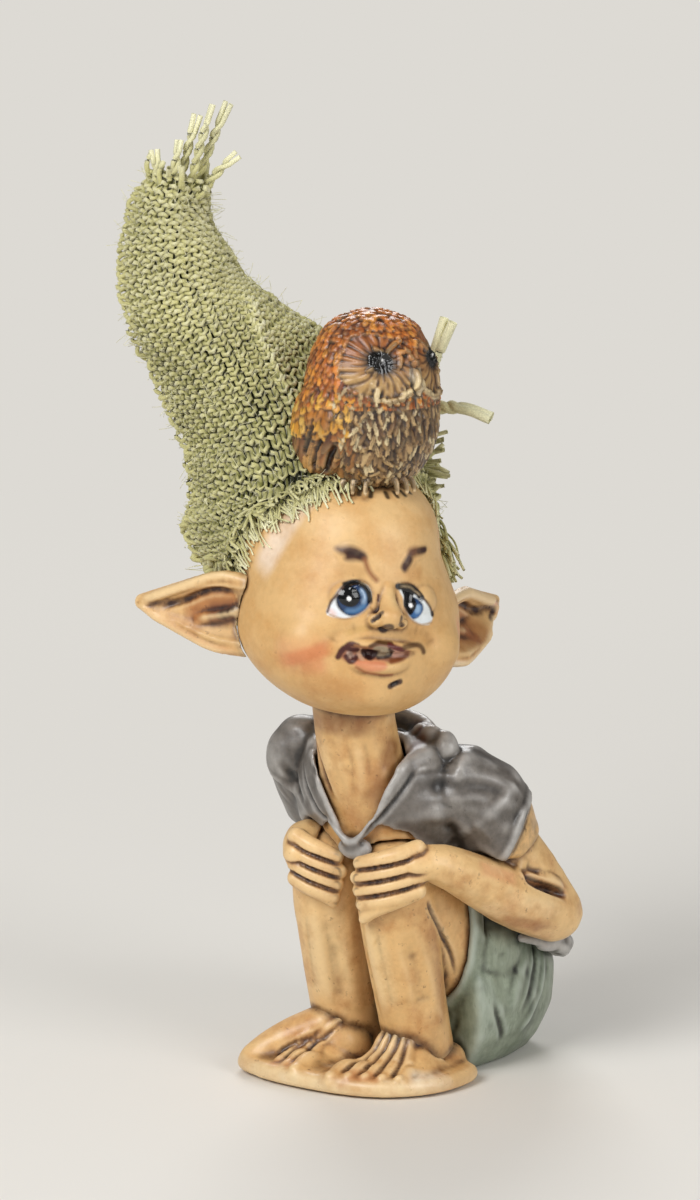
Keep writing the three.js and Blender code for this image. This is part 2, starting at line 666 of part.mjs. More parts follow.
// Owl, in its own frame: it looks along -Y and its origin is under its feet.
const OWL_ROWS = [
  { up: 0.1, wide: 0.72, deep: 0.74, back: 0.06 },
  { up: 0.28, wide: 0.95, deep: 0.98, back: 0.02 },
  { up: 0.5, wide: 1, deep: 1, back: 0 },
  { up: 0.7, wide: 0.93, deep: 0.92, back: -0.02 },
  { up: 0.86, wide: 0.72, deep: 0.7, back: 0 },
  { up: 0.95, wide: 0.42, deep: 0.42, back: 0.02 },
];
function owlBody(grow = 0) {
  const stations = OWL_ROWS.map((row) => ({
    at: point(0, row.back * OWL_HALF_DEPTH, row.up * OWL_HEIGHT),
    wide: row.wide * OWL_HALF_WIDTH,
    deep: row.deep * OWL_HALF_DEPTH,
  }));
  const domes = [0.08 * OWL_HEIGHT, 0.05 * OWL_HEIGHT];
  return loft(stations, { facing: Z_AXIS, steps: 9, sides: 16, grow, domes });
}

// Body, wings and tail: the outer form, which the hat is cut clear of.
function owlForm(grow = 0) {
  const wings = BOTH_SIDES.map(({ sign }) =>
    loft(
      [
        { at: point(sign * OWL_HALF_WIDTH * 0.84, 0.8, 0.6 * OWL_HEIGHT), wide: 2, deep: 3.4 },
        { at: point(sign * OWL_HALF_WIDTH * 0.92, 1.4, 0.36 * OWL_HEIGHT), wide: 2, deep: 4.6 },
        { at: point(sign * OWL_HALF_WIDTH * 0.66, 3.6, 0.1 * OWL_HEIGHT), wide: 1.3, deep: 2.2 },
      ],
      { steps: 5, sides: 10, grow, domes: [2, 1.2] },
    ),
  );
  const tail = loft(
    [
      { at: point(0, 0.5 * OWL_HALF_DEPTH, 0.3 * OWL_HEIGHT), wide: 4.2, deep: 2.4 },
      { at: point(0, 0.94 * OWL_HALF_DEPTH, 0.08 * OWL_HEIGHT), wide: 3.4, deep: 1.2 },
    ],
    { steps: 3, sides: 10, grow, domes: [1, 0.8] },
  );
  return join([owlBody(grow), ...wings, tail]);
}

function owl(brow) {
  const faceHeight = 0.72 * OWL_HEIGHT;
  const faceFrontY = -0.84 * OWL_HALF_DEPTH;
  const features = BOTH_SIDES.flatMap(({ sign }) => {
    const discAt = point(sign * OWL_EYE_OUT, faceFrontY + 1, faceHeight);
    const disc = ball(discAt, point(OWL_DISC_RADIUS, 1.7, OWL_DISC_RADIUS), sign * radians(26));
    const eye = point(sign * OWL_EYE_OUT * 1.1, faceFrontY - 0.2, faceHeight + 0.2);
    const claws = [-1, 0, 1].map((k) => {
      const x = sign * 2.9 + k * 1.25;
      const bend = [
        [0.62, 3.4],
        [0.9, 2.6],
        [1.02, 1.4],
      ].map(([out, up]) => point(x, -out * OWL_HALF_DEPTH, up));
      return finger(bend, [0.75, 0.62, 0.42], { steps: 3, sides: 5, side: X_AXIS });
    });
    const eyeSize = point(OWL_EYE_RADIUS, OWL_EYE_RADIUS, OWL_EYE_RADIUS);
    return [disc, ball(eye, eyeSize), ...claws];
  });
  const beakLine = [
    [0.5, 0.6],
    [1.7, -1.2],
    [1.1, -3.2],
  ].map(([out, up]) => point(0, faceFrontY - out, faceHeight + up));
  const beak = finger(beakLine, [0.8, 0.95, 0.4], { side: X_AXIS });
  return cut(join([owlForm(), ...features, beak]), [brow]).add(owlPeg());
}

function owlPeg(grow = 0) {
  return peg(point(0, 0, 1), Z_AXIS, 2 * PEG_LENGTH, grow);
}

// Hat, in the head's frame: a flattened cone of knitted cloth that leans back over the right
// ear, stands up again at its tip and frays into yarn ends.
const HAT_SPINE = [
  { at: point(-1.5, 4, 8), wide: 1, deep: 1 },
  { at: point(-1.7, 5.2, 15), wide: 1, deep: 1 },
  { at: point(-2.2, 6.6, 22), wide: 1, deep: 1 },
  { at: point(-3.2, 8.6, 29.5), wide: 0.93, deep: 0.9 },
  { at: point(-6.7, 11.5, 37), wide: 0.7, deep: 0.62 },
  { at: point(-11.5, 13.8, 43.5), wide: 0.48, deep: 0.42 },
  { at: point(-15.6, 15.7, 49.5), wide: 0.34, deep: 0.26 },
  { at: point(-17.4, 17, 55), wide: 0.27, deep: 0.18 },
  { at: point(-18, 17.8, 60.6), wide: 0.13, deep: 0.1 },
  { at: point(-17, 17.4, 66.6), wide: 0.02, deep: 0 },
];
const HAT_SIDE = point(0.95, -0.3, 0).normalize();
function hatRings(inset) {
  const between = (tip, mouth, share) => tip + (mouth - tip) * share - inset;
  const stations = HAT_SPINE.map((s) => ({
    at: s.at,
    wide: between(HAT_TIP_HALF_WIDTH, HEAD_HALF_WIDTH + HAT_SIDE_EASE, s.wide),
    deep: between(HAT_TIP_HALF_DEPTH, HEAD_HALF_DEPTH + HAT_BACK_EASE, s.deep),
  }));
  return loftRings(stations, { side: HAT_SIDE, egg: HAT_NARROWING, steps: 15, sides: 18 });
}

function hatForm(inset) {
  return solid(skin(hatRings(inset)));
}

const HAT_TOP = HAT_SPINE[HAT_SPINE.length - 1].at;
const FRINGE = [
  { from: [-2.6, 0.4], to: [-3, 1, 4] },
  { from: [-1.3, -1], to: [0, -0.1, 5.2] },
  { from: [0, 0.9], to: [2.2, -0.8, 8.4] },
  { from: [0.6, -1.4], to: [4, -1.5, 9.7] },
  { from: [2.2, 1.1], to: [5.9, -2.2, 9.9] },
  { from: [2.6, -0.4], to: [7, -2.6, 3.4] },
];
function fringe() {
  return FRINGE.map(({ from, to }) => {
    const root = HAT_TOP.clone().add(point(from[0], from[1], -2));
    const end = HAT_TOP.clone().add(point(...to));
    const bend = root.clone().lerp(end, 0.5).add(point(0, 0, 0.5));
    return finger([root, bend, end], [1, 1, 0.9].map((s) => s * YARN_RADIUS), { side: X_AXIS });
  });
}

// The seam stands up as a ridge of yarn along one line of the cloth, from beside the owl to the
// bend of the hat.
const SEAM_DEG = 260;
const SEAM_SHARES = { from: 0.4, to: 0.74 };
function seam() {
  const rings = hatRings(YARN_RADIUS * 0.3);
  const at = (share) => Math.round(share * (rings.length - 1));
  const side = Math.floor((SEAM_DEG / 360) * rings[0].length);
  const line = rings.slice(at(SEAM_SHARES.from), at(SEAM_SHARES.to) + 1).map((ring) => ring[side]);
  return finger(line, line.map(() => YARN_RADIUS), { steps: 7, side: X_AXIS });
}

function hat(cutters) {
  const rim = below(point(0, 0, HAT_RIM_HEIGHT), radians(-HAT_RIM_SLOPE_DEG));
  const tipFrom = HAT_TOP.z - HAT_CLOSED_TIP;
  const closedTip = new THREE.BoxGeometry(FAR, FAR, FAR).translate(0, 0, FAR / 2 + tipFrom);
  const hollow = cut(hatForm(HAT_WALL), [solid(closedTip)]);
  return cut(join([hatForm(0), seam(), ...fringe()]), [hollow, rim, ...cutters]);
}

// Loose ends of the joining yarn, where the cloth meets beside the owl.
const owlAt = point(OWL_ASIDE, -OWL_FORWARD, HEAD_HEIGHT - OWL_SINK);
function besideOwl([across, back, up]) {
  return owlAt.clone().add(point(across * OWL_HALF_WIDTH, back * OWL_HALF_DEPTH, up * OWL_HEIGHT));
}
const UPPER_TAIL = [
  [0.1, 1.6, 0.43],
  [1.05, 0.88, 0.49],
  [1.19, 0.68, 0.64],
  [1.4, 0.51, 0.92],
].map(besideOwl);
const LOWER_TAIL = [
  [0.1, 1.4, 0.24],
  [1.05, 0.8, 0.38],
  [1.53, 0.32, 0.41],
  [1.9, 0.02, 0.36],
].map(besideOwl);
function yarnTail(points, owlSeat) {
  const yarn = finger(points, points.map(() => TAIL_RADIUS), { steps: 8 });
  return cut(yarn, [owlSeat, hatForm(-GLUE_GAP)]);
}

// Assembly
const figure = new THREE.Group();
for (const { word, sign } of BOTH_SIDES) {
  figure.add(piece(`${word}_leg`, leg(sign), SKIN_FINISH));
}
figure.add(piece("feet_plate", feetPlate(), SKIN_FINISH));
figure.add(piece("trousers", trousers(), TROUSER_FINISH));
figure.add(piece("shirt", shirt(), SHIRT_FINISH));
for (const { word, sign } of BOTH_SIDES) {
  const clear = [seat(GLUE_GAP), turnUp(sign, GLUE_GAP), leg(1, GLUE_GAP), leg(-1, GLUE_GAP)];
  figure.add(piece(`${word}_arm`, cut(arm(sign), clear), SKIN_FINISH));
}

const knees = BOTH_SIDES.flatMap(({ sign }) => [leg(sign, GLUE_GAP), arm(sign, GLUE_GAP)]);
const lapLevel = below(point(0, 0, KNEE_HEIGHT));
figure.add(piece("neck", cut(neck(), [lapLevel, thigh(0, GLUE_GAP), ...knees]), SKIN_FINISH));

const headGroup = new THREE.Group();
headGroup.position.copy(headSeat);
headGroup.rotation.z = radians(HEAD_TURN_DEG);
headGroup.updateMatrix();
figure.add(headGroup);

const owlGroup = new THREE.Group();
owlGroup.position.copy(owlAt);
owlGroup.rotation.z = radians(OWL_TURN_DEG);
owlGroup.updateMatrix();
headGroup.add(owlGroup);

const faceGroup = new THREE.Group();
faceGroup.rotation.y = radians(HEAD_ROLL_DEG);
faceGroup.position.x = -HEAD_ROLL_HEIGHT * Math.sin(radians(HEAD_ROLL_DEG));
faceGroup.updateMatrix();
headGroup.add(faceGroup);
const intoFace = faceGroup.matrix.clone().invert();
const intoOwl = owlGroup.matrix.clone().invert();

const neckSeat = moved(moved(neck(GLUE_GAP), headGroup.matrix.clone().invert()), intoFace);
const pegSocket = moved(moved(owlPeg(GLUE_GAP), owlGroup.matrix), intoFace);
faceGroup.add(piece("head", head(neckSeat, pegSocket), SKIN_FINISH));
for (const { word, sign } of BOTH_SIDES) {
  faceGroup.add(piece(`${word}_ear`, ear(sign), SKIN_FINISH));
}
const scalp = moved(skull(GLUE_GAP), faceGroup.matrix);
owlGroup.add(piece("owl", owl(moved(scalp, intoOwl)), OWL_FINISH));

const owlSeat = moved(owlForm(GLUE_GAP), owlGroup.matrix);
const hatCutters = [
  scalp,
  owlSeat,
  ...BOTH_SIDES.map(({ sign }) => moved(ear(sign, GLUE_GAP), faceGroup.matrix)),
];
headGroup.add(piece("hat", hat(hatCutters), WOOL_FINISH));
headGroup.add(piece("upper_yarn_tail", yarnTail(UPPER_TAIL, owlSeat), WOOL_FINISH));
headGroup.add(piece("lower_yarn_tail", yarnTail(LOWER_TAIL, owlSeat), WOOL_FINISH));

export default figure;
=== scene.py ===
import math

import bpy
import numpy as np
from mathutils import Matrix, Vector
from mathutils.bvhtree import BVHTree
from mathutils.kdtree import KDTree


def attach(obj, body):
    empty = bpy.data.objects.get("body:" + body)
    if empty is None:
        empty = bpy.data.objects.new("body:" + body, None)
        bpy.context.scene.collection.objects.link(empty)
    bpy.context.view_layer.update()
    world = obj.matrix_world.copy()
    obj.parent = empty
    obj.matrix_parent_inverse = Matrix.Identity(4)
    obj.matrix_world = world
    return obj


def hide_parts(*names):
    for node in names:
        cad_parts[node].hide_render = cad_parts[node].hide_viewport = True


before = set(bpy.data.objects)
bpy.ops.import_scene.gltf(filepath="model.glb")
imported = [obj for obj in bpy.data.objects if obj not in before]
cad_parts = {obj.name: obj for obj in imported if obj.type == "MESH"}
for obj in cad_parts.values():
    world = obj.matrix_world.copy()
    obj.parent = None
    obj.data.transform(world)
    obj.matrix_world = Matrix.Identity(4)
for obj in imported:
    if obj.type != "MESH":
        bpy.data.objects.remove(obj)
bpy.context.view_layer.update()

# Feet plate: two bare feet and the thin plate under them, one resin casting that stands on the shelf.
# It was cast in a rubber mould, so every form runs softly into the next. The five toes, their nails
# and the tendons are part of it, and the rim of the plate is worn pale.
MM = 0.001
WORLD = Matrix.Identity(4)
SKIN = "#D8AE73"
SKIN_LIGHT = "#EBCB98"
WASH_AND_SHADE_BROWN = "#3A1E10"


def linear(code):
    """An sRGB hex colour as linear RGBA."""
    parts = [int(code[i : i + 2], 16) / 255 for i in (1, 3, 5)]
    return np.array([c / 12.92 if c <= 0.04045 else ((c + 0.055) / 1.055) ** 2.4 for c in parts] + [1.0])


def select_only(*pieces):
    bpy.ops.object.select_all(action="DESELECT")
    for piece in pieces:
        piece.select_set(True)
    bpy.context.view_layer.objects.active = pieces[0]


def finish_with(piece, kind, **settings):
    """Applies one modifier to a piece."""
    select_only(piece)
    modifier = piece.modifiers.new(kind.title(), kind)
    for name, value in settings.items():
        setattr(modifier, name, value)
    bpy.ops.object.modifier_apply(modifier=modifier.name)


def even_skin(piece, cell, rounds):
    """Lays a new even skin over a piece: the size of its faces in millimetres, and rounds of smoothing."""
    finish_with(piece, "REMESH", mode="VOXEL", voxel_size=cell * MM)
    finish_with(piece, "SMOOTH", factor=0.5, iterations=rounds)
    select_only(piece)
    bpy.ops.object.shade_smooth()


def casting(node, cell, rounds):
    """A working copy of a casting's plain form, merged, and evened out as a sculptor smooths clay."""
    piece = bpy.data.objects.new(node + "_casting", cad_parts[node].data.copy())
    bpy.context.scene.collection.objects.link(piece)
    select_only(piece)
    bpy.ops.object.mode_set(mode="EDIT")
    bpy.ops.mesh.select_all(action="SELECT")
    bpy.ops.mesh.remove_doubles(threshold=0.003 * MM)
    bpy.ops.object.mode_set(mode="OBJECT")
    piece.data.materials.clear()
    even_skin(piece, cell, rounds)
    return piece


def set_in_place(piece, place):
    piece.matrix_world = Matrix.Scale(MM, 4) @ place @ piece.matrix_world
    select_only(piece)
    bpy.ops.object.transform_apply(location=True, rotation=True, scale=True)
    return piece


def lump(at, half, place=WORLD, turn=(0, 0, 0)):
    """A pellet of clay, in millimetres of the frame it is set in."""
    bpy.ops.object.select_all(action="DESELECT")
    bpy.ops.mesh.primitive_uv_sphere_add(segments=24, ring_count=14, radius=1, location=at)
    piece = bpy.context.object
    piece.rotation_euler = turn
    piece.scale = half
    bpy.context.view_layer.update()
    return set_in_place(piece, place)


def roll(points, radii, place=WORLD):
    """A rolled strip of clay through the points, with rounded ends."""
    route = bpy.data.curves.new("roll", "CURVE")
    route.dimensions = "3D"
    route.bevel_depth = 1
    route.bevel_resolution = 4
    route.resolution_u = 8
    route.use_fill_caps = True
    strip = route.splines.new("BEZIER")
    strip.bezier_points.add(len(points) - 1)
    for knot, point, radius in zip(strip.bezier_points, points, radii):
        knot.co = point
        knot.radius = radius
        knot.handle_left_type = knot.handle_right_type = "AUTO"
    piece = bpy.data.objects.new("roll", route)
    bpy.context.scene.collection.objects.link(piece)
    select_only(piece)
    bpy.ops.object.convert(target="MESH")
    piece = set_in_place(bpy.context.object, place)
    ends = [lump(points[k], [radii[k]] * 3, place) for k in (0, -1)]
    select_only(piece, *ends)
    bpy.ops.object.join()
    return piece


def fuse(piece, extras, cell, rounds):
    """Joins lumps and rolls to a piece under one new skin."""
    select_only(piece, *extras)
    bpy.ops.object.join()
    even_skin(piece, cell, rounds)


def points_of(piece):
    co = np.empty(len(piece.data.vertices) * 3)
    piece.data.vertices.foreach_get("co", co)
    return co.reshape(-1, 3)


def normals_of(piece):
    out = np.empty(len(piece.data.vertices) * 3)
    piece.data.vertex_normals.foreach_get("vector", out)
    return out.reshape(-1, 3)


def move_points(piece, co):
    piece.data.vertices.foreach_set("co", co.ravel())
    piece.data.update()


def tree_of(piece):
    mesh = piece.data
    return BVHTree.FromPolygons([v.co for v in mesh.vertices], [p.vertices[:] for p in mesh.polygons])


def curve_through(points, count):
    """A smooth curve through the points, as `count` places along it."""
    p = np.asarray(points, float)
    ends = np.vstack([2 * p[0] - p[1], p, 2 * p[-1] - p[-2]])
    t = np.linspace(0, len(p) - 1, count)
    i = np.minimum(t.astype(int), len(p) - 2)
    f = (t - i)[:, None]
    a, b, c, d = (ends[i + k] for k in range(4))
    bend, twist = 2 * a - 5 * b + 4 * c - d, 3 * b - a - 3 * c + d
    return 0.5 * (2 * b + (c - a) * f + bend * f**2 + twist * f**3)


def placed(points, place):
    """Millimetres of a frame as metres of the figure."""
    matrix = np.array(place)
    return (np.asarray(points, float) @ matrix[:3, :3].T + matrix[:3, 3]) * MM


def touched(skin, tree, path, width, place):
    """The points of a skin within a tool's width of a path over it: how near, and how far along."""
    co, normals = skin
    rough = placed(curve_through(path, 60), place)
    length = np.linalg.norm(np.diff(rough, axis=0), axis=1).sum()
    count = max(6, int(4 * length / (width * MM)))
    found = [tree.find_nearest(p) for p in placed(curve_through(path, count), place)]
    line = np.array([f[0] for f in found])
    facing = np.array([f[1] for f in found])
    reach = width * MM
    pick = np.flatnonzero(((co > line.min(0) - reach) & (co < line.max(0) + reach)).all(1))
    gap = np.linalg.norm(co[pick, None] - line[None], axis=2)
    nearest = gap.argmin(1)
    run = np.gradient(line, axis=0)
    step = np.linalg.norm(run, axis=1) + 1e-9
    slip = ((co[pick] - line[nearest]) * run[nearest]).sum(1) / step[nearest]
    beyond = ((nearest == 0) & (slip < 0)) | ((nearest == count - 1) & (slip > 0))
    slip[beyond] = 0
    near = np.sqrt(np.maximum(gap.min(1) ** 2 - slip**2, 0)) / reach
    along = np.clip((nearest + slip / step[nearest]) / (count - 1), 0, 1)
    keep = (near < 1) & ((normals[pick] * facing[nearest]).sum(1) > -0.3)
    return pick[keep], near[keep], along[keep]


def tapered(along, fade):
    """How much of a stroke is left towards its ends."""
    return np.clip(np.minimum(along, 1 - along) / fade, 0, 1) if fade else np.ones_like(along)


def touches(piece, strokes, place, fade):
    """For each stroke: the points it touches, how near they are, its taper, and its other values."""
    tree = tree_of(piece)
    skin = points_of(piece), normals_of(piece)
    for path, width, *values in strokes:
        pick, near, along = touched(skin, tree, path, width, place)
        yield pick, near, tapered(along, fade), values


def press(piece, strokes, place=WORLD, fade=0.25):
    """Tool strokes on the clay: each is a path, the tool's half width and its height, minus for a groove."""
    moved, normals = points_of(piece), normals_of(piece)
    for pick, near, taper, (height,) in touches(piece, strokes, place, fade):
        moved[pick] += normals[pick] * ((1 - near**2) ** 2 * taper * height * MM)[:, None]
    move_points(piece, moved)


def read_layer(piece, name, size):
    attribute = piece.data.attributes[name]
    values = np.empty(len(attribute.data) * size, np.float32)
    attribute.data.foreach_get("color" if size == 4 else "value", values)
    return values.reshape(-1, size) if size == 4 else values


def write_layer(piece, name, values):
    """Sets a value, or a colour, at every point of a piece."""
    kind, key = ("FLOAT_COLOR", "color") if values.ndim == 2 else ("FLOAT", "value")
    attribute = piece.data.attributes.get(name) or piece.data.attributes.new(name, kind, "POINT")
    attribute.data.foreach_set(key, np.ascontiguousarray(values, np.float32).ravel())


def undercoat(piece, code):
    count = len(piece.data.vertices)
    write_layer(piece, "paint", np.tile(linear(code), (count, 1)))
    write_layer(piece, "ink", np.zeros(count))


def brush(piece, strokes, place=WORLD, edge=0.6, fade=0.15):
    """Paint strokes: each is a path, the brush's half width, a colour and how much of it stays."""
    paint = read_layer(piece, "paint", 4)
    for pick, near, taper, (code, strength) in touches(piece, strokes, place, fade):
        share = (np.clip((1 - near) / edge, 0, 1) * taper * strength)[:, None]
        paint[pick] = paint[pick] * (1 - share) + linear(code) * share
    write_layer(piece, "paint", paint)


def add(tree, kind, inputs=None, out=0, **settings):
    """Adds a shader node with its settings and links, and gives one of its outputs."""
    node = tree.nodes.new("ShaderNode" + kind)
    for name, value in settings.items():
        setattr(node, name, value)
    for socket, value in (inputs or {}).items():
        if isinstance(value, bpy.types.NodeSocket):
            tree.links.new(value, node.inputs[socket])
        else:
            node.inputs[socket].default_value = value
    return node.outputs[out] if len(node.outputs) else None


# Sizes of the paint's marks: bristle lines, thin patches, and its grain, drawn coarse enough to show.
BRISTLE_MM, THIN_PATCH_MM, PAINT_GRAIN_MM = 0.9, 5, 0.22
STAIN = {"out": 2, "data_type": "RGBA", "blend_type": "MULTIPLY"}


def painted_resin(name, wash_and_shade, rub, blot_mm, gloss, coat, streak, grain, flush, speck):
    """Cast polyresin, hand painted, flooded with a dark wash that stays in the hollows, dry brushed on the high
    places and varnished.
    The dark layer is partly that real wash and partly painted shade in the hollows and where pieces meet.
    `streak` stretches the brush marks along Z, as on the cloth forms."""
    material = bpy.data.materials.new(name)
    material.use_nodes = True
    tree = material.node_tree
    tree.nodes.clear()
    at = add(tree, "TexCoord", out="Object")
    paint = add(tree, "Attribute", out="Color", attribute_name="paint")
    hollow, high, drawn, glaze = (
        add(tree, "Attribute", out="Fac", attribute_name=kind) for kind in ("wash_and_shade", "rub", "ink", "glaze")
    )
    bare = add(tree, "Math", {0: 1.0, 1: glaze}, operation="SUBTRACT")
    stretched = add(tree, "Mapping", {"Vector": at, "Scale": (1, 1, streak)})
    mottle = {"Detail": 4, "Roughness": 0.6}
    blot = add(tree, "TexNoise", {"Vector": at, "Scale": 1 / (blot_mm * MM), **mottle})
    marks = add(tree, "TexNoise", {"Vector": stretched, "Scale": 1 / (BRISTLE_MM * MM), **mottle})
    thin = add(
        tree, "TexNoise", {"Vector": at, "Scale": 1 / (THIN_PATCH_MM * MM), "Detail": 5, "Roughness": 0.65}
    )
    fine = add(tree, "TexNoise", {"Vector": at, "Scale": 1 / (PAINT_GRAIN_MM * MM), "Detail": 2})
    tone, thinned, patchy, specks = (
        add(tree, "MapRange", {"Value": value, "From Min": a, "From Max": b, "To Min": c, "To Max": d})
        for value, a, b, c, d in (
            (marks, 0.3, 0.7, 1 - grain, 1 + grain),
            (thin, 0.45, 0.75, 0, 0.8),
            (blot, 0.3, 0.7, 0.45, 1.25),
            (marks, 0.62, 0.74, 0, speck),
        )
    )
    dulled = add(tree, "Math", {0: thinned, 1: bare}, operation="MULTIPLY")
    stained = add(tree, "Mix", {0: dulled, 6: paint, 7: linear(flush)}, **STAIN)
    toned = add(tree, "Mix", {0: 1.0, 6: stained, 7: tone}, **STAIN)
    held = add(tree, "Math", {0: hollow, 1: patchy}, operation="MULTIPLY")
    dotted = add(tree, "Math", {0: held, 1: specks}, operation="ADD")
    pooled = add(tree, "Math", {0: dotted, 1: bare}, operation="MULTIPLY")
    inked = add(tree, "Math", {0: pooled, 1: drawn}, operation="MAXIMUM")
    # This ramp turns the wash, the painted shade and the inked lines to the dark colour.
    wash_and_shade_ramp = add(tree, "ValToRGB", {"Fac": inked})
    ramp = wash_and_shade_ramp.node.color_ramp
    ramp.elements[0].color = (1, 1, 1, 1)
    ramp.elements[1].position = 0.95
    ramp.elements[1].color = linear(wash_and_shade)
    ramp.elements.new(0.4).color = 0.5 * (linear(wash_and_shade) ** 0.35) + 0.25
    washed_and_shaded = add(tree, "Mix", {0: 1.0, 6: toned, 7: wash_and_shade_ramp}, **STAIN)
    raised = add(tree, "Math", {0: high, 1: bare}, operation="MULTIPLY")
    worn = add(tree, "Math", {0: raised, 1: tone}, operation="MULTIPLY", use_clamp=True)
    rubbed = add(tree, "Mix", {0: worn, 6: washed_and_shaded, 7: linear(rub)}, 2, data_type="RGBA")
    rough = add(tree, "MapRange", {"Value": blot, "To Min": gloss - 0.08, "To Max": gloss + 0.16})
    varnished = add(tree, "Mix", {0: glaze, 2: rough, 3: 0.08})
    relief = add(tree, "Math", {0: fine, 1: marks}, operation="ADD")
    bump = add(tree, "Bump", {"Height": relief, "Strength": 0.25, "Distance": 0.05 * MM})
    look = {"Base Color": rubbed, "Roughness": varnished, "Normal": bump, "IOR": 1.5}
    shader = add(tree, "BsdfPrincipled", {**look, "Coat Weight": coat, "Coat Roughness": 0.2})
    add(tree, "OutputMaterial", {"Surface": shader})
    return material


def dress(piece, material, slot, *nodes):
    """Gives a piece its paint, its body and the plain solids that it stands for."""
    piece.data.materials.clear()
    piece.data.materials.append(material)
    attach(piece, "root")
    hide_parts(*nodes)


def on_the_table(piece):
    """Nothing reaches below the table."""
    co = points_of(piece)
    co[:, 2] = np.maximum(co[:, 2], 0)
    move_points(piece, co)


def scuffed(piece, count, seed, colours, long, deep=0.0):
    """Small chance marks of the clay tool and the brush over a whole piece."""
    chance = np.random.default_rng(seed)
    spots, facing = points_of(piece) / MM, normals_of(piece)
    marks = []
    for v in chance.integers(len(spots), size=count):
        run = np.cross(facing[v], chance.normal(0, 1, 3))
        run *= long * chance.uniform(0.4, 1) / np.linalg.norm(run)
        marks.append([tuple(spots[v] - run), tuple(spots[v]), tuple(spots[v] + run)])
    if deep:
        dents = [(mark, chance.uniform(0.7, 1.5), deep * chance.uniform(-1, 1)) for mark in marks]
        press(piece, dents, fade=0.5)
    picked = chance.integers(len(colours), size=count)
    strokes = [
        (mark, chance.uniform(0.4, 1.3), colours[k], chance.uniform(0.2, 0.5))
        for mark, k in zip(marks, picked)
    ]
    brush(piece, strokes, edge=1.0, fade=0.5)
    on_the_table(piece)


# Skin paint: ochre cream acrylic on polyresin under a gloss varnish, brown in the creases, where the brown wash
# also carries painted shade.
skin_paint = painted_resin(
    "ochre_skin_paint_on_polyresin", WASH_AND_SHADE_BROWN, SKIN_LIGHT,
    blot_mm=1.6, gloss=0.42, coat=0.2, streak=1.0, grain=0.06, flush="#C99C68", speck=0.35,
)

feet_plate = casting("feet_plate", 0.3, 12)
INSTEP = [(-6.2, -4.2, 5.9), (-9.4, -7.2, 4.4), (-11.6, -9.4, 3.2), (-13.2, -11.2, 2.0)]
INSTEP_REACH = 4.2
fuse(feet_plate, [roll(INSTEP, [3.0, 2.7, 2.2, 1.7])], 0.26, 2)
blend = feet_plate.vertex_groups.new(name="instep")
off_instep = points_of(feet_plate)[:, None] - placed(curve_through(INSTEP, 20), WORLD)[None]
off_instep = np.linalg.norm(off_instep, axis=2).min(1)
blend.add(np.flatnonzero(off_instep < INSTEP_REACH * MM).tolist(), 1.0, "REPLACE")
finish_with(feet_plate, "SMOOTH", factor=0.5, iterations=45, vertex_group="instep")
ankles = [roll([(sign * 5.2, -2.6, 3.4), (sign * 5.5, -2.2, 5.4)], [4.3, 3.4]) for sign in (1, -1)]
ankles += [lump((sign * 7.6, 1.8, 2.2), (3.0, 4.0, 2.5)) for sign in (1, -1)]
fuse(feet_plate, ankles, 0.26, 16)
toes, tendons = [], []
TOE_SPREAD = 1.92
FOOT_OUT = 5.7
for sign, splay, cords in ((1, 0.0, 5), (-1, -2.4, 4)):
    base_x = sign * FOOT_OUT + splay
    for i in range(5):
        out = sign * (i - 2) * TOE_SPREAD
        size = 1.22 * (1.2 - 0.08 * i)
        root = (base_x + 0.94 * out, -8.0 + 0.6 * i, 1.9)
        knuckle = (base_x + out, -10.4 + 0.8 * i, 2.5)
        tip = (base_x + 1.04 * out, -13.0 + 0.95 * i, 1.65)
        nail = (tip[0], tip[1] - 0.55, tip[2] + 0.95)
        toes.append(roll([root, knuckle, tip], [size * 0.8, size * 0.98, size * 0.95]))
        toes.append(lump(nail, (size * 0.5, size * 0.6, 0.35), turn=(0.35, 0, 0)))
    for i in range(cords):
        out = sign * (i - 2) * TOE_SPREAD
        instep = (sign * FOOT_OUT + 0.35 * out, -3.2, 7.0)
        middle, end = (base_x + 0.75 * out, -6.2, 4.5), (base_x + 0.95 * out, -9.2 + 0.6 * i, 3.4)
        tendons.append(([instep, middle, end], 0.9, 0.2))
        if i < cords - 1:
            gap = out + sign * 0.5 * TOE_SPREAD
            start, middle = (sign * FOOT_OUT + 0.4 * gap, -4.2, 6.0), (base_x + 0.8 * gap, -7.0, 3.6)
            tendons.append(([start, middle, (base_x + 1.03 * gap, -12.6 + 0.9 * i, 1.8)], 0.5, -0.34))
fuse(feet_plate, toes, 0.22, 4)
press(feet_plate, tendons, fade=0.15)
on_the_table(feet_plate)
undercoat(feet_plate, SKIN)
PLATE_RIM = [(-16, -8, 1), (-14, -13, 1), (-8, -15.6, 1), (0, -16, 1), (8, -14.6, 1), (13, -10, 1), (14, -4, 1)]
brush(
    feet_plate,
    [
        (PLATE_RIM, 1.7, "#EAD6AE", 0.75),
        # The pale patch on the flat top at the plate's right end is worn paint with a painted highlight on it.
        ([(10.5, -9, 2.6), (12.6, -6, 2.4), (13, -3, 2.4)], 2.0, "#F0E4CC", 0.8),
        # The brown down between the two feet is painted shade.
        ([(0, -4, 3), (-0.6, -8, 2.4), (-1, -12, 1.6)], 2.2, "#9A6A38", 0.7),
        ([(-9, -2, 6), (-12, -6, 3.5), (-13, -9, 2.6)], 1.6, "#B98A52", 0.5),
        ([(2, -6.5, 5), (6, -7.5, 4.6), (10, -5.5, 5)], 1.8, "#AE7E48", 0.6),
        ([(-9, -12.4, 2.6), (-4, -12.8, 2.6)], 1.6, "#C27B4E", 0.5),
        ([(3, -12.6, 2.6), (8, -11, 2.8)], 1.6, "#C27B4E", 0.5),
    ],
)
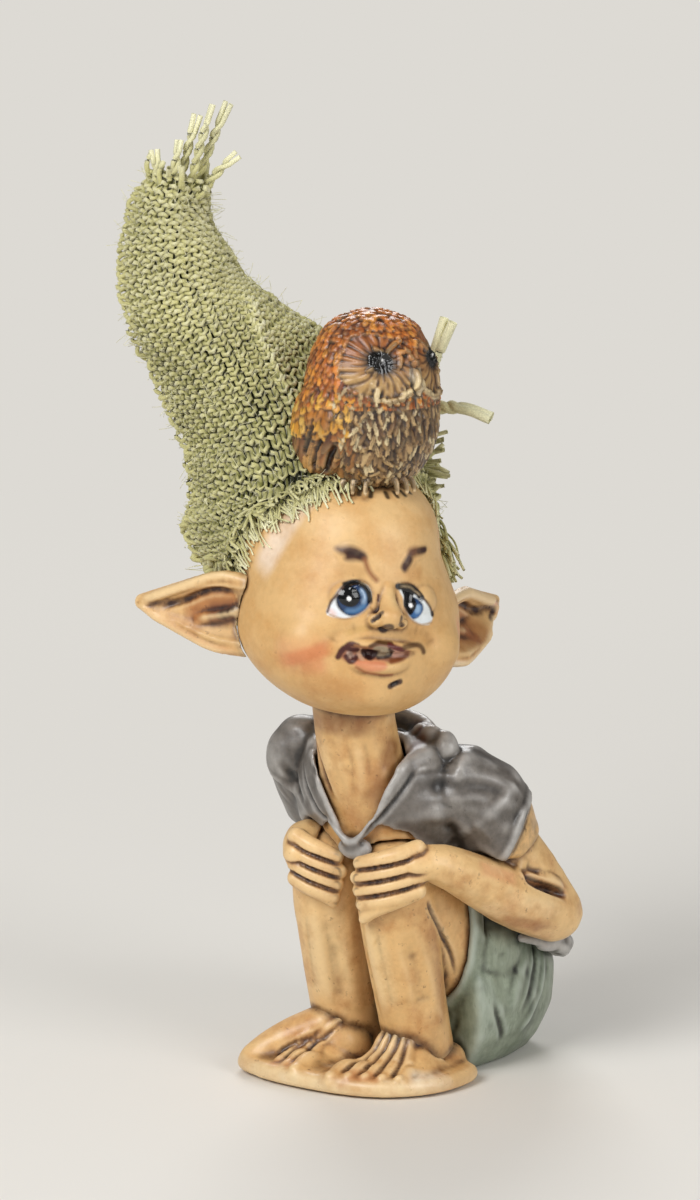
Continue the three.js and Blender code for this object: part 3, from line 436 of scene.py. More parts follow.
scuffed(feet_plate, 120, 21, ("#EAD3A6", "#B98650", "#C98E62", "#F0E2C4"), 2.4)
dress(feet_plate, skin_paint, "skin_paint", "feet_plate")

# Legs: two bare shins and thighs, each a separate casting glued into the feet plate and the trousers.
# The knees are broad and bony, with a hollow behind the shin where thigh and calf press together.
SKIN_PALE = "#E3BC82"


def ink(piece, strokes, place=WORLD, fade=0.2):
    """Fine dark lines of the wash, drawn where it pooled: path, half width, strength."""
    dark = read_layer(piece, "ink", 1)
    for pick, near, taper, (strength,) in touches(piece, strokes, place, fade):
        dark[pick] = np.maximum(dark[pick], np.clip((1 - near) * 1.8, 0, 1) * taper * strength)
    write_layer(piece, "ink", dark)


def mirrored(strokes, flip):
    """Strokes of the left side as they are, or with flip at -1 as those of the right side."""
    return [([(flip * x, y, z) for x, y, z in path], *values) for path, *values in strokes]


CREASES = {
    "left": [(10.4, -4.6, 25.0), (10.3, -3.8, 23.5), (9.8, -1.3, 20.3), (9.2, 1.7, 16.7), (8.6, 3.6, 13.2)],
    "right": [(-10.6, -4.6, 25.5), (-10.4, -1.0, 23), (-10.1, 0.6, 19.5), (-9.2, 2.6, 14.5)],
}
SHIN_FORMS = [
    ([(4.2, -9.8, 24), (4.6, -7.8, 16), (5.2, -5.2, 8)], 1.6, 0.35),
    ([(8.0, -6.4, 21), (8.4, -4.4, 15), (8.0, -2.6, 9)], 1.8, -0.4),
    ([(2.2, -8.4, 20), (2.6, -6.6, 14), (3.2, -4.4, 8)], 1.5, -0.35),
]
# Painted shade and painted highlight on each shin: brown on the side towards the other leg, on the outer side
# and round the ankle; pale on the inner front and down the front of the shin.
SHIN_SHADE_AND_HIGHLIGHT = [
    ([(0.7, -6, 25), (1.0, -4.6, 16), (1.7, -2.6, 7)], 1.2, "#9C6A38", 0.35),
    ([(2.4, -7.8, 24), (2.8, -5.8, 15), (3.4, -3.8, 8)], 2.0, "#EACB94", 0.65),
    ([(9.6, -4, 22), (9.6, -2, 15), (8.8, 0, 8)], 1.8, "#B07E48", 0.6),
    ([(2.5, -6, 6.0), (5.8, -6.6, 5.6), (9, -4, 6.0)], 1.8, "#A87540", 0.45),
    ([(4.6, -10.2, 22), (5.0, -8.2, 15), (5.4, -6.2, 10)], 2.6, "#E6C892", 0.65),
]
legs = {}
# The right leg's paler undercoat is painted light: it lifts the shade that falls on it beside the left leg.
for side, flip, coat in (("left", 1, SKIN), ("right", -1, SKIN_PALE)):
    leg = casting(side + "_leg", 0.35, 26)
    even_skin(leg, 0.25, 2)
    undercoat(leg, coat)
    press(leg, [(CREASES[side], 0.45, -0.4)])
    press(leg, mirrored(SHIN_FORMS, flip))
    ink(leg, [(CREASES[side], 0.28, 0.75)])
    brush(leg, mirrored(SHIN_SHADE_AND_HIGHLIGHT, flip))
    scuffed(leg, 110, 22, ("#EACB94", "#B5803F", "#C89A5E", "#A06A34", "#E6C088"), 2.6, 0.06)
    legs[side] = leg
    dress(leg, skin_paint, "skin_paint", side + "_leg")

# Trousers: knee breeches cast as one lump with the seat, painted pale grey green, glued behind the legs.
# The cloth is modelled tight over the seat, with drag folds from the hips and a rolled hem at the knees.
trousers = casting("trousers", 0.35, 18)
finish_with(trousers, "DISPLACE", strength=0.45 * MM, mid_level=0)
fuse(trousers, [lump((flip * 8.9, 10.8, 15.6), (3.5, 6.2, 6.4)) for flip in (1, -1)], 0.26, 14)
SEAT_FOLDS = [
    ([(5, 18.3, 20), (9.2, 17, 16.8), (12.5, 13, 12), (12, 10, 6)], 1.5, 0.35),
    ([(7, 19.5, 17), (11, 17, 12), (12.4, 13, 6)], 1.1, -0.4),
]
press(
    trousers,
    [
        *SEAT_FOLDS,
        ([(8, 20, 13), (11.4, 17, 8), (12, 13.2, 3)], 1.0, 0.3),
        ([(11.8, 6.9, 9.8), (12, 9, 6), (10.6, 10.7, 3.5)], 0.9, -0.35),
        *mirrored(SEAT_FOLDS, -1),
        ([(0, 21, 18), (0, 23, 12), (0, 22.5, 4)], 1.1, -0.35),
    ],
)
undercoat(trousers, "#858F7C")
TROUSER_STROKES = [
    # The dark band along the top, under the forearm and the shirt, is a painted shadow.
    ([(12, 3.5, 22), (12.6, 8, 20.5), (13, 13, 18.5), (11, 17, 18)], 2.4, "#33342B", 0.75),
    ([(10.5, 6, 16), (11.4, 6.6, 10), (10.8, 7.4, 4)], 1.4, "#A9B4A4", 0.6),
    ([(12.4, 10, 13), (12.6, 11, 8), (11.6, 12, 3)], 1.6, "#A4AF9C", 0.5),
    ([(11.6, 15, 14), (11.2, 16, 8), (10, 16, 3)], 1.8, "#5E675A", 0.6),
]
brush(trousers, TROUSER_STROKES)
scuffed(trousers, 150, 23, ("#B4BCAC", "#525A4D", "#9AA592", "#6B7466", "#C4C8BA"), 2.8, 0.2)
# Trouser paint: pale grey-green acrylic on polyresin, streaked by the brush, satin varnish.
trouser_paint = painted_resin(
    "grey_green_paint_on_polyresin", "#2B2A22", "#B4BEB2",
    blot_mm=1.8, gloss=0.42, coat=0.2, streak=0.3, grain=0.18, flush="#78866E", speck=0.35,
)
dress(trousers, trouser_paint, "trouser_paint", "trousers")

# Neck and chest: one casting that fills the open collar and carries the head.
# It shows the breastbone, the collar bones and the folds of a thin neck, deep brown against the shirt: painted
# shade down its sides and under the chin, and a painted highlight down the front.
neck = casting("neck", 0.3, 14)
even_skin(neck, 0.24, 2)
press(
    neck,
    [
        ([(-3.6, -10, 45), (-2.6, -10.4, 41), (-0.6, -9.8, 36.5)], 0.7, -0.3),
        ([(2.6, -10, 46.5), (3.4, -9.4, 42), (3.0, -9.2, 37)], 1.2, 0.25),
    ],
)
undercoat(neck, SKIN)
brush(
    neck,
    [
        # Brown down both sides and under the chin is painted shade; the pale stroke down the front is a painted
        # highlight.
        ([(4.6, -5.5, 46), (5.0, -6.5, 42), (4, -8.5, 36.5)], 2.0, "#8F5C2E", 0.7),
        ([(-4.6, -9, 46), (-3.8, -10, 41), (-1.6, -10, 36)], 1.5, "#A06C38", 0.6),
        ([(-5, -9, 48), (0, -12.4, 47.6), (4.6, -8, 47.6)], 1.8, "#8A5A30", 0.6),
        ([(-1.4, -11.6, 45), (-0.6, -11, 41)], 1.3, "#E6C48C", 0.5),
    ],
)
scuffed(neck, 70, 25, ("#E8C890", "#A87440", "#C08A50", "#8E5A2C"), 1.6, 0.08)
dress(neck, skin_paint, "skin_paint", "neck")

# Arms: bare arms from the sleeves to the hands, cast apart and glued with the fingers over the knees.
# Each hand has four clear fingers with outlined nails; the left elbow is folded into a deep crease.
KNEE_RADIUS = 5.3
FINGER = 1.1
# Knuckles and span of the fingers in degrees round the knee, height and drop in millimetres.
GRIPS = {
    "left": {"sign": 1, "knuckle": 24, "spread": 80, "high": 3.7, "drop": 2.3},
    "right": {"sign": -1, "knuckle": 82, "spread": 58, "high": 3.6, "drop": 2.4},
}


def around_knee(grip, share, reach, rise):
    """A place on a hand laid round its knee: share of the way to the fingertips, how far out, how high."""
    turn = math.radians(grip["knuckle"] + share * grip["spread"])
    out = KNEE_RADIUS + reach
    return (grip["sign"] * (5.2 + out * math.cos(turn)), -4.8 - out * math.sin(turn), 28.5 + rise)


arms = {}
for side, grip in GRIPS.items():
    arm = casting(side + "_arm", 0.22, 44)
    fingers, nails, grooves = [], [], []
    for i in range(4):
        high = grip["high"] - i * 1.65 * FINGER
        shares = [0, 0.37, 0.7, 1 - 0.07 * abs(i - 1)]
        route = [around_knee(grip, s, 0.75, high - grip["drop"] * s) for s in shares]
        fingers.append(roll(route, [r * FINGER for r in (1.08, 1.06, 0.98, 0.86)]))
        nails.append(around_knee(grip, 0.93, 1.55, high - grip["drop"]))
        if i < 3:
            shares = (-0.15, 0.3, 0.65, 1.0)
            grooves.append([around_knee(grip, s, 1.4, high - 0.9 - grip["drop"] * s) for s in shares])
    fuse(arm, fingers, 0.2, 3)
    undercoat(arm, SKIN_PALE)
    press(arm, [(g, 0.42, -0.45) for g in grooves])
    ink(arm, [(g, 0.26, 0.85) for g in grooves])
    marks = []
    for nail, g in zip(nails, [*grooves, grooves[-1]]):
        lead = 0.8 * (np.array(g[-1]) - g[-2]) / np.linalg.norm(np.array(g[-1]) - g[-2])
        edge = ((-0.9, 0.45), (0.1, 0.6), (0.5, 0), (0.1, -0.6), (-0.9, -0.45))
        marks.append([np.array(nail) + ahead * lead + (0, 0, up) for ahead, up in edge])
    ink(arm, [(m, 0.22, 0.7) for m in marks])
    brush(arm, [(g, 0.8, "#B9774A", 0.5) for g in grooves])
    arms[side] = arm
    dress(arm, skin_paint, "skin_paint", side + "_arm")
elbow = [(16.5, 6.6, 27.7), (17.9, 7.1, 26.6), (18.5, 9.6, 25.2), (19.0, 12.2, 24.1), (19.2, 13.7, 23.2)]
press(arms["left"], [(elbow, 0.9, -1.1), ([(p[0] + 0.2, p[1] - 0.3, p[2] + 1.3) for p in elbow], 1.1, 0.5)])
ink(arms["left"], [(elbow, 0.4, 0.9)])
brush(
    arms["left"],
    [
        (elbow, 1.4, "#A4602F", 0.7),
        ([(13, 0.5, 25), (16, 6, 22.5), (18.5, 12, 20.5)], 1.6, "#B5834C", 0.6),
        ([(14, -1, 28.5), (17, 5, 26.5)], 1.4, "#D9956A", 0.5),
        ([(10, -3.4, 27.6), (13.6, 1.4, 25.6), (17.4, 7.6, 23.4), (19, 11.6, 22)], 2.0, "#EAC894", 0.7),
    ],
)
for arm in arms.values():
    scuffed(arm, 90, 26, ("#EACB98", "#C58C58", "#D29A6C", "#B07A42"), 1.5, 0.05)

# Shirt: a loose grey shirt with short wide sleeves, cast in one and glued round the chest and arms.
# The collar stands open in a V with a rolled edge, and the cloth hangs in heavy folds. Below the left
# sleeve's hem the casting is drawn in and painted as the bare arm.
shirt = casting("shirt", 0.3, 2)
COLLAR_BACK = [(-8.2, 0.8, 45.4), (-4.4, 3.0, 46.2), (0.2, 3.6, 46.5), (4.2, 2.8, 46.0), (7.6, 0.8, 44.8)]
shoulders = [
    roll(COLLAR_BACK, [1.0] * 5),
    lump((-11.0, -3.4, 43.0), (3.6, 3.2, 3.3)),
    lump((-12.4, -4.6, 41.0), (3.0, 2.7, 3.8)),
]
fuse(shirt, shoulders, 0.3, 26)
OPEN_NECK = [(-1.6, -9.7, 34.4), (0.2, -9.7, 33.0), (1.8, -9.5, 32.2), (3.4, -9.4, 33.2), (4.8, -9.3, 35.0)]
BACK_HEM = [(12.6, 12.6, 17.0), (14.0, 15.6, 16.2), (14.3, 18.4, 15.2), (13.6, 20.8, 14.2), (11.4, 23.6, 12.8)]
cloth = [
    lump((5.2, 0.7, 44.3), (2.0, 1.4, 2.2)),
    lump((7.3, 0.2, 44.2), (2.1, 1.5, 2.4)),
    lump((9.2, 0.5, 43.6), (1.9, 1.6, 2.5)),
    roll(OPEN_NECK, [0.45, 0.5, 0.6, 0.5, 0.45]),
    lump((1.8, -8.6, 31.2), (2.6, 1.2, 1.5)),
    roll(BACK_HEM, [0.6, 0.8, 0.9, 0.9, 0.7]),
    lump((13.8, 17.2, 16.0), (1.5, 2.6, 1.6)),
    lump((13.2, 20.0, 15.2), (1.6, 2.2, 1.5)),
    lump((11.6, 22.4, 14.2), (1.8, 2.2, 1.6)),
]
fuse(shirt, cloth, 0.27, 9)
HEM = [
    (16.6, 9.8, 38.9), (18.0, 7.4, 36.9), (18.6, 5.2, 35.0),
    (18.5, 4.1, 33.0), (17.5, 3.6, 30.4), (16.2, 3.4, 28.6),
]
HEM_FACING = np.array([0.662, 0.612, -0.433])
press(
    shirt,
    [
        ([(7.5, -5.6, 44), (10.5, -2, 43.6), (14, 1.6, 42.6), (17, 4, 39.5)], 2.2, 0.3),
        ([(8.2, -6.4, 39), (11.2, -2, 39.4), (14.5, 2.2, 38), (17.4, 5, 35)], 1.6, -0.35),
        ([(9, -5.6, 36.4), (12, -0.5, 35.4), (14, 4, 33)], 1.6, 0.3),
        ([(-13.5, -4.8, 41), (-12.4, -4.8, 38), (-10, -6.5, 35.4)], 1.4, 0.3),
        ([(-12, -6, 41), (-9.5, -7.6, 37.5), (-6, -9, 35)], 1.1, -0.3),
        ([np.array(k) - 0.7 * HEM_FACING for k in HEM], 0.8, 0.3),
        ([(3.4, -9.9, 31.6), (6.0, -9.2, 35.2), (7.9, -7.2, 39), (8.8, -4.8, 42.4)], 0.5, -0.35),
        ([(0.2, -10.2, 31.6), (-2.8, -10.2, 34.2), (-6, -9.9, 37.6), (-8.4, -8.6, 41.4)], 0.5, -0.35),
        ([(-5, 0.6, 45.2), (0, 1.4, 45.6), (5, 0.4, 44.8)], 1.7, -0.9),
        ([(-9, 8, 42), (-9.5, 15, 33), (-9, 20, 22), (-7, 24, 10)], 3.4, 0.7),
        ([(-5, 8, 43), (-5, 17, 33), (-4.6, 22, 22), (-4, 26, 9)], 2.8, -0.65),
        ([(0, 8, 43), (0.4, 18, 34), (-0.4, 22.5, 22), (-0.6, 27, 9)], 3.2, 0.65),
        ([(5, 8, 42), (5.0, 16, 34), (4.6, 21, 24), (4.2, 26, 10)], 2.6, -0.65),
        ([(10, 7, 41), (9.6, 14, 33), (9, 19, 24), (8, 24, 11)], 3.2, 0.65),
        ([(-13, 6, 37), (-8, 14, 33), (-2, 18, 31.5), (4, 17, 33), (11, 9, 37)], 2.4, -0.45),
        ([(-12, 8, 31), (-6, 17, 27), (0, 20.5, 26), (6, 18, 27.5), (12, 9, 31)], 2.6, 0.4),
    ],
)
undercoat(shirt, "#655F59")
scuffed(shirt, 230, 24, ("#8E8983", "#45403B", "#7B746C", "#9C9790", "#5A4A3C"), 2.8, 0.26)
SHOULDER, ELBOW = np.array([11.6, 3.6, 38.0]), np.array([15.6, 15.2, 20.6])
bone = (ELBOW - SHOULDER) / np.linalg.norm(ELBOW - SHOULDER)
spots = points_of(shirt) / MM
outward = spots - SHOULDER
down = outward @ bone
outward -= down[:, None] * bone
off_bone = np.linalg.norm(outward, axis=1)[:, None] + 1e-9
outward /= off_bone
bare = (spots - HEM[1]) @ HEM_FACING
elsewhere = (points_of(shirt)[:, 0] < 13.5 * MM) | (points_of(shirt)[:, 2] > 39 * MM)
bare[elsewhere | (down > 14) | (off_bone[:, 0] > 8)] = -5
thinner = np.clip(bare / 0.5, 0, 1) * 0.5 + np.clip(bare / 3, 0, 1) * 0.9
move_points(shirt, points_of(shirt) - outward * (thinner * MM)[:, None])
paint = read_layer(shirt, "paint", 4)
below_hem = np.clip(bare / 0.25 + 0.5, 0, 1)
share = below_hem[:, None]
write_layer(shirt, "paint", paint * (1 - share) + linear(SKIN) * share)
ink(shirt, [(HEM[1:], 0.35, 0.8)])
brush(
    shirt,
    [
        # The dark red-brown inside the collar is painted shade.
        ([(2.4, 2.0, 46.0), (5.6, 0.4, 45.6), (7.0, -2.5, 44.2), (7.2, -5, 42)], 1.3, "#4A2016", 0.85),
        ([(8.6, -5.4, 43.6), (12, -1.5, 43), (15, 2, 41)], 1.6, "#8F8A83", 0.55),
        ([(9.5, -5.8, 40.6), (13, -1, 40)], 1.4, "#4B4642", 0.6),
        ([(10.5, -4.6, 37.6), (14.5, 1.0, 36.2)], 1.5, "#8B867F", 0.5),
        ([(-13.6, -5.2, 43), (-12.6, -6, 39.6)], 1.3, "#8F8A83", 0.5),
        ([(13.4, 13.8, 16.4), (15.0, 16.6, 15.6), (15.4, 18.6, 14.8), (14.6, 21, 13.8)], 0.6, "#B4B0A9", 0.6),
    ],
)
# Shirt paint: dark grey acrylic on polyresin, dry brushed pale grey, gloss varnish.
shirt_paint = painted_resin(
    "grey_shirt_paint_on_polyresin", "#241F1D", "#B5B2AE",
    blot_mm=1.8, gloss=0.38, coat=0.3, streak=0.8, grain=0.2, flush="#86807A", speck=0.35,
)
dress(shirt, shirt_paint, "shirt_paint", "shirt")

# Head: one large casting, a wide skull with a broad grin, button nose and big painted eyes.
# It is turned to the pixie's left and tipped, and sits on the neck. The face is painted by hand.
HEAD = Matrix.Translation((0, -7, 49)) @ Matrix.Rotation(math.radians(58), 4, "Z")
TILT = math.radians(6.5)
FACE = HEAD @ Matrix.Translation((-15 * math.sin(TILT), 0, 0)) @ Matrix.Rotation(TILT, 4, "Y")
SKULL_ROWS = (
    (0.0, -0.28, 0.05, 0.06),
    (0.035, -0.26, 0.45, 0.48),
    (0.13, -0.15, 0.79, 0.82),
    (0.27, -0.04, 0.99, 0.98),
    (0.45, 0, 0.97, 1),
    (0.65, 0.04, 0.86, 0.95),
    (0.84, 0.08, 0.75, 0.86),
    (0.96, 0.09, 0.47, 0.54),
    (1.0, 0.09, 0.04, 0.04),
)


def shaped_ball(name, segments, rings, rows, size, place):
    """A ball of clay shaped by level rows: share of the height, set back, half width and half depth."""
    bpy.ops.object.select_all(action="DESELECT")
    bpy.ops.mesh.primitive_uv_sphere_add(segments=segments, ring_count=rings, radius=1)
    piece = bpy.context.object
    piece.name = name
    ball = points_of(piece)
    around = np.arctan2(ball[:, 1], ball[:, 0])
    line = curve_through(rows, 400)
    line[:, 0] = np.maximum.accumulate(line[:, 0])
    level = np.arccos(np.clip(-ball[:, 2], -1, 1)) / math.pi
    lift = np.interp(level, np.linspace(0, 1, 400), line[:, 0])
    back, wide, deep = (np.interp(lift, line[:, 0], line[:, k]) for k in (1, 2, 3))
    ball[:, 0] = np.cos(around) * np.maximum(wide, 0.01) * size[0]
    ball[:, 1] = (np.sin(around) * np.maximum(deep, 0.01) + back) * size[1]
    ball[:, 2] = lift * size[2]
    move_points(piece, ball)
    return set_in_place(piece, place)


def in_frame(piece, place):
    """A piece's points in millimetres of a frame."""
    into = np.array(place.inverted())
    return points_of(piece) / MM @ into[:3, :3].T + into[:3, 3]


head = shaped_ball("head_casting", 72, 60, SKULL_ROWS, (14.3, 13.4, 31), FACE)
NOSTRILS = {-1: (-0.4, -15.2, 12.9), 1: (1.2, -15.3, 13.8)}
flesh = [
    lump((0, -10.4, 4.4), (4.8, 3.2, 2.7), FACE),
    lump((0, -10.8, 9.2), (6.0, 3.0, 3.6), FACE),
    lump((7.0, -7.2, 9.8), (5.4, 4.9, 4.8), FACE),
    lump((-7.0, -7.2, 9.8), (5.4, 4.9, 4.8), FACE),
    lump((-9.2, 2.4, 19.6), (5.0, 6.4, 7.0), FACE),
]
fuse(head, flesh, 0.4, 40)
local = in_frame(head, FACE)
far_temple = np.clip((local[:, 2] - 15) / 6, 0, 1) * np.clip((local[:, 0] - 4) / 7, 0, 1)
local[:, 0] -= 1.3 * far_temple
move_points(head, placed(local, FACE))
features = [
    roll([(0, -12.0, 18.0), (-0.1, -13.0, 16.2), (-0.1, -14.2, 14.7)], [0.8, 1.0, 1.4], FACE),
    lump((-0.1, -14.4, 14.2), (1.7, 1.65, 1.55), FACE),
]
for sign in (1, -1):
    features += [
        lump((sign * 4.4, -9.8, 15.9), (3.0, 3.2, 2.6), FACE),
        lump((sign * 1.6, -13.4, 13.6), (1.0, 1.4, 0.9), FACE),
    ]
BROWS = {
    -1: [(-6.6, -10.1, 20.7), (-5.8, -10.4, 21.5), (-5.0, -10.8, 21.9), (-4.1, -11.3, 21.6),
        (-3.1, -11.8, 20.6)],
    1: [(5.5, -10.2, 22.6), (4.2, -11.1, 22.2), (3.1, -11.6, 21.6), (2.4, -12, 20.8), (2.0, -12.2, 20.0)],
}
UPPER_LIP = [(-5.7, -12.5, 8.6), (-5.1, -12.8, 9.6), (-4.2, -13.3, 10.2), (-2.6, -13.9, 10.5),
    (0, -14.4, 10.4), (2.3, -14.2, 10.3), (3.9, -13.5, 10.3), (5.3, -12.7, 9.9)]
LOWER_LIP = [(-4.6, -12.9, 8.3), (-3.2, -13.6, 7.9), (-0.8, -14.1, 7.7), (1.8, -14.0, 7.9), (4.1, -13.1, 8.8)]
MOUTH = [(-5.0, -12.8, 9.0), (-3.2, -13.6, 9.2), (-0.6, -14.1, 9.3), (2.0, -13.9, 9.3), (4.6, -13.0, 9.7)]
LIP_SET_IN = 0.6
for lip, radii in (
    (UPPER_LIP, [0.35, 0.45, 0.55, 0.65, 0.65, 0.6, 0.5, 0.35]),
    (LOWER_LIP, [0.45, 0.75, 0.85, 0.75, 0.45]),
):
    features.append(roll([(x, y + LIP_SET_IN, z) for x, y, z in lip], radii, FACE))
fuse(head, features, 0.18, 14)
local = in_frame(head, FACE)
under_hat = head.vertex_groups.new(name="under_hat")
BEHIND_FACE = 1
under_hat.add(np.flatnonzero(local[:, 1] > BEHIND_FACE).tolist(), 1.0, "REPLACE")
finish_with(head, "DECIMATE", ratio=0.72, vertex_group="under_hat")
# The eyes as flat outlines across and up the face: -1 is the pixie's right eye, 1 the left.
EYES = {
    -1: {
        "rim": [(-7.2, 13.8), (-7, 14.8), (-6.7, 15.7), (-6.3, 16.7), (-5.8, 17.3), (-5.1, 17.8),
            (-4.4, 18.1), (-3.5, 17.9), (-2.8, 17.6), (-2.4, 16.9), (-2.4, 16), (-2.6, 15.3), (-3.2, 14.6),
            (-4, 14), (-5, 13.7), (-6.1, 13.6)],
        "lid": [(-5.5, 17.6), (-5.0, 17.8), (-4.5, 18.0), (-4.0, 18.0), (-3.3, 17.7), (-2.8, 17.2),
            (-2.5, 16.5), (-2.4, 15.8)],
        "crease": [(-7.3, 14.0), (-6.9, 15.5), (-6.2, 16.9), (-5.5, 17.7)],
        "low": [(-7.0, 13.7), (-5.2, 13.4), (-3.2, 14.4), (-2.2, 15.6)],
    },
    1: {
        "rim": [(1.5, 17.6), (2.1, 16.5), (2.3, 15.3), (2.8, 14.7), (3.2, 14.2), (3.7, 13.8), (4.7, 13.4),
            (5.8, 13.3), (6.4, 13.7), (6.4, 14.5), (5.4, 15.7), (4.5, 16.5), (3.6, 17.2), (2.6, 17.7)],
        "lid": [(1.2, 17.9), (2.0, 17.9), (3.0, 17.8), (3.8, 17.3), (4.4, 16.7)],
        "crease": [(4.2, 16.9), (4.9, 16.4), (5.8, 15.5), (6.6, 14.5)],
        "low": [(2.2, 15.2), (3.1, 14.0), (4.8, 13.2), (6.5, 13.5)],
    },
}
strokes = [
    (MOUTH, 0.75, -0.45),
    ([(-1.5, -14.9, 14.7), (-1.9, -14.4, 14.0), (-2.1, -13.8, 13.4)], 0.5, -0.45),
    ([(1.6, -14.6, 14.9), (2.3, -13.9, 14.2), (2.4, -13.4, 13.4)], 0.5, -0.4),
    ([(1.3, -13.4, 5.4), (1.9, -13.2, 5.7), (2.6, -13.1, 6.0)], 0.5, -0.35),
    ([(-4.6, -13, 9.0), (-3.8, -13, 8.8)], 0.6, -0.35),
    ([(-2.4, -13.2, 9.3), (-1.4, -13.2, 9.3)], 0.7, -0.45),
    ([(-0.9, -13.4, 9.8), (0.4, -13.4, 9.8)], 0.8, 0.35),
    ([(-2.6, -14, 13), (-5.6, -12.2, 11.8), (-6.9, -11.2, 9.4)], 1.6, -0.25),
    ([(2.8, -14, 13), (5.6, -12.2, 12), (6.9, -11.2, 9.8)], 1.6, -0.25),
]
for sign in (1, -1):
    x, y, z = NOSTRILS[sign]
    strokes.append(([(x, y, z + 0.2), (x, y, z - 0.3)], 0.55, -0.7))
    strokes.append((BROWS[sign], 1.2, 0.2))
    strokes.append(([(a, -13, b + 0.1) for a, b in EYES[sign]["lid"]], 0.5, 0.3))
press(head, strokes, FACE)
undercoat(head, SKIN)
paint = read_layer(head, "paint", 4)
local = in_frame(head, FACE)
# Painted light: the skin is mixed paler towards the top of the head, a painted highlight over the brow and
# forehead.
painted_light_upwards = np.clip((local[:, 2] - 12) / 12, 0, 1)[:, None] * 0.3
write_layer(head, "paint", paint * (1 - painted_light_upwards) + linear(SKIN_LIGHT) * painted_light_upwards)
head_tree = tree_of(head)
SKETCH_Y = -30


def on_face(pairs):
    """Places on the face straight behind points of a flat sketch held in front of it."""
    found = []
    for a, b in pairs:
        start = FACE @ Vector((a, SKETCH_Y, b)) * MM
        hit = head_tree.ray_cast(start, FACE.to_3x3() @ Vector((0, 1, 0)))[0]
        found.append(tuple(FACE.inverted() @ (hit / MM)))
    return found


BLUSH = [(-12.0, -7.6, 7.0), (-10.9, -9.4, 7.5), (-9.8, -10.8, 8.2), (-8.6, -11.5, 8.8), (-7.3, -11.8, 9.5),
    (-6.2, -12.3, 10.1)]
brush(
    head,
    [
        ([(-12, -6.5, 8.4), (-9.6, -10.4, 8.2), (-6.4, -12, 9)], 3.2, "#DC9C6C", 0.55),
        (BLUSH, 1.3, "#CC6A3C", 0.55),
        ([(-10, -10.2, 6.9), (-8.6, -11, 7.2), (-6.8, -11.9, 7.8)], 1.8, "#D08454", 0.5),
        # Brown along the jaw and under the chin is painted shade.
        ([(-10, -8.6, 5.2), (-7.6, -10.6, 4.8), (-4, -11.8, 4.8), (0, -12.6, 4)], 2.4, "#C08A50", 0.5),
        ([(11.6, -6, 9), (11.4, -6.4, 11), (11.2, -6.4, 14)], 1.6, "#DE9468", 0.6),
        ([(-12.9, -1.4, 16.4), (-12.4, -2.0, 18.4), (-11.5, -2.7, 21.4), (-10.1, -3.6, 24.7),
            (-8.6, -4.0, 27.2), (-6.6, -4.4, 28.6)], 2.3, "#EBD9C8", 0.7),
        # Brown under the brows and in the fold from the nose to the mouth is painted shade.
        (on_face([(-6.8, 19.2), (-4.6, 19.4), (-2.8, 18.8)]), 1.3, "#C09258", 0.6),
        (on_face([(2, 19), (3.6, 19.6), (5.0, 19.4)]), 1.2, "#C4955C", 0.55),
        (on_face([(-1.6, 13.0), (-3.6, 12.2), (-5.4, 11.4)]), 0.6, "#C39A58", 0.6),
        # The pale stroke down the nose is a painted highlight.
        ([(0, -12.6, 17.6), (0, -13.6, 16), (-0.1, -15.6, 15)], 0.9, "#E2C088", 0.7),
    ],
    FACE,
    fade=0.22,
)
brush(
    head,
    [
        ([(-0.35, -14.9, 13.2), (-0.3, -14.6, 12.5)], 0.85, "#3A120C", 1.0),
        ([(-2.2, -14.0, 13.6), (-1.8, -14.3, 14.1), (-1.5, -15.0, 14.8)], 0.42, "#35100B", 1.0),
        ([(0.9, -15.5, 14.4), (0.9, -15.5, 13.8), (1.6, -14.7, 13.2)], 0.42, "#35100B", 1.0),
    ],
    FACE,
    edge=0.5,
    fade=0,
)


def off_line(spots, line):
    """How far each spot lies from a drawn line, in millimetres."""
    a, run = line[:-1], np.diff(line, axis=0)
    t = np.clip(((spots[:, None] - a) * run).sum(2) / np.maximum((run * run).sum(1), 1e-9), 0, 1)
    return np.linalg.norm(spots[:, None] - a - t[..., None] * run, axis=2).min(1)


def off_outline(spots, outline):
    """How far outside a closed outline each spot lies, minus inside it, in millimetres."""
    steps = 12
    knots = [outline[-1], *outline, outline[0], outline[1]]
    closed = curve_through(knots, steps * (len(outline) + 2) + 1)[steps:-steps]
    a, b = closed[:-1], closed[1:]
    crosses = (a[:, 1] > spots[:, 1:2]) != (b[:, 1] > spots[:, 1:2])
    with np.errstate(divide="ignore", invalid="ignore"):
        hit = a[:, 0] + (spots[:, 1:2] - a[:, 1]) / (b - a)[:, 1] * (b - a)[:, 0]
    inside = (crosses & (spots[:, 0:1] < hit)).sum(1) % 2 == 1
    gap = off_line(spots, closed)
    return np.where(inside, -gap, gap)


def dab(paint, spots, reach, code, soft):
    """Paint where reach is below zero, with a soft edge."""
    share = np.clip(0.5 - reach / soft, 0, 1)[:, None]
    paint[spots] = paint[spots] * (1 - share) + linear(code) * share


FILLED = None
near_rim, far_rim = EYES[-1]["rim"], EYES[1]["rim"]
GROW = 0.16
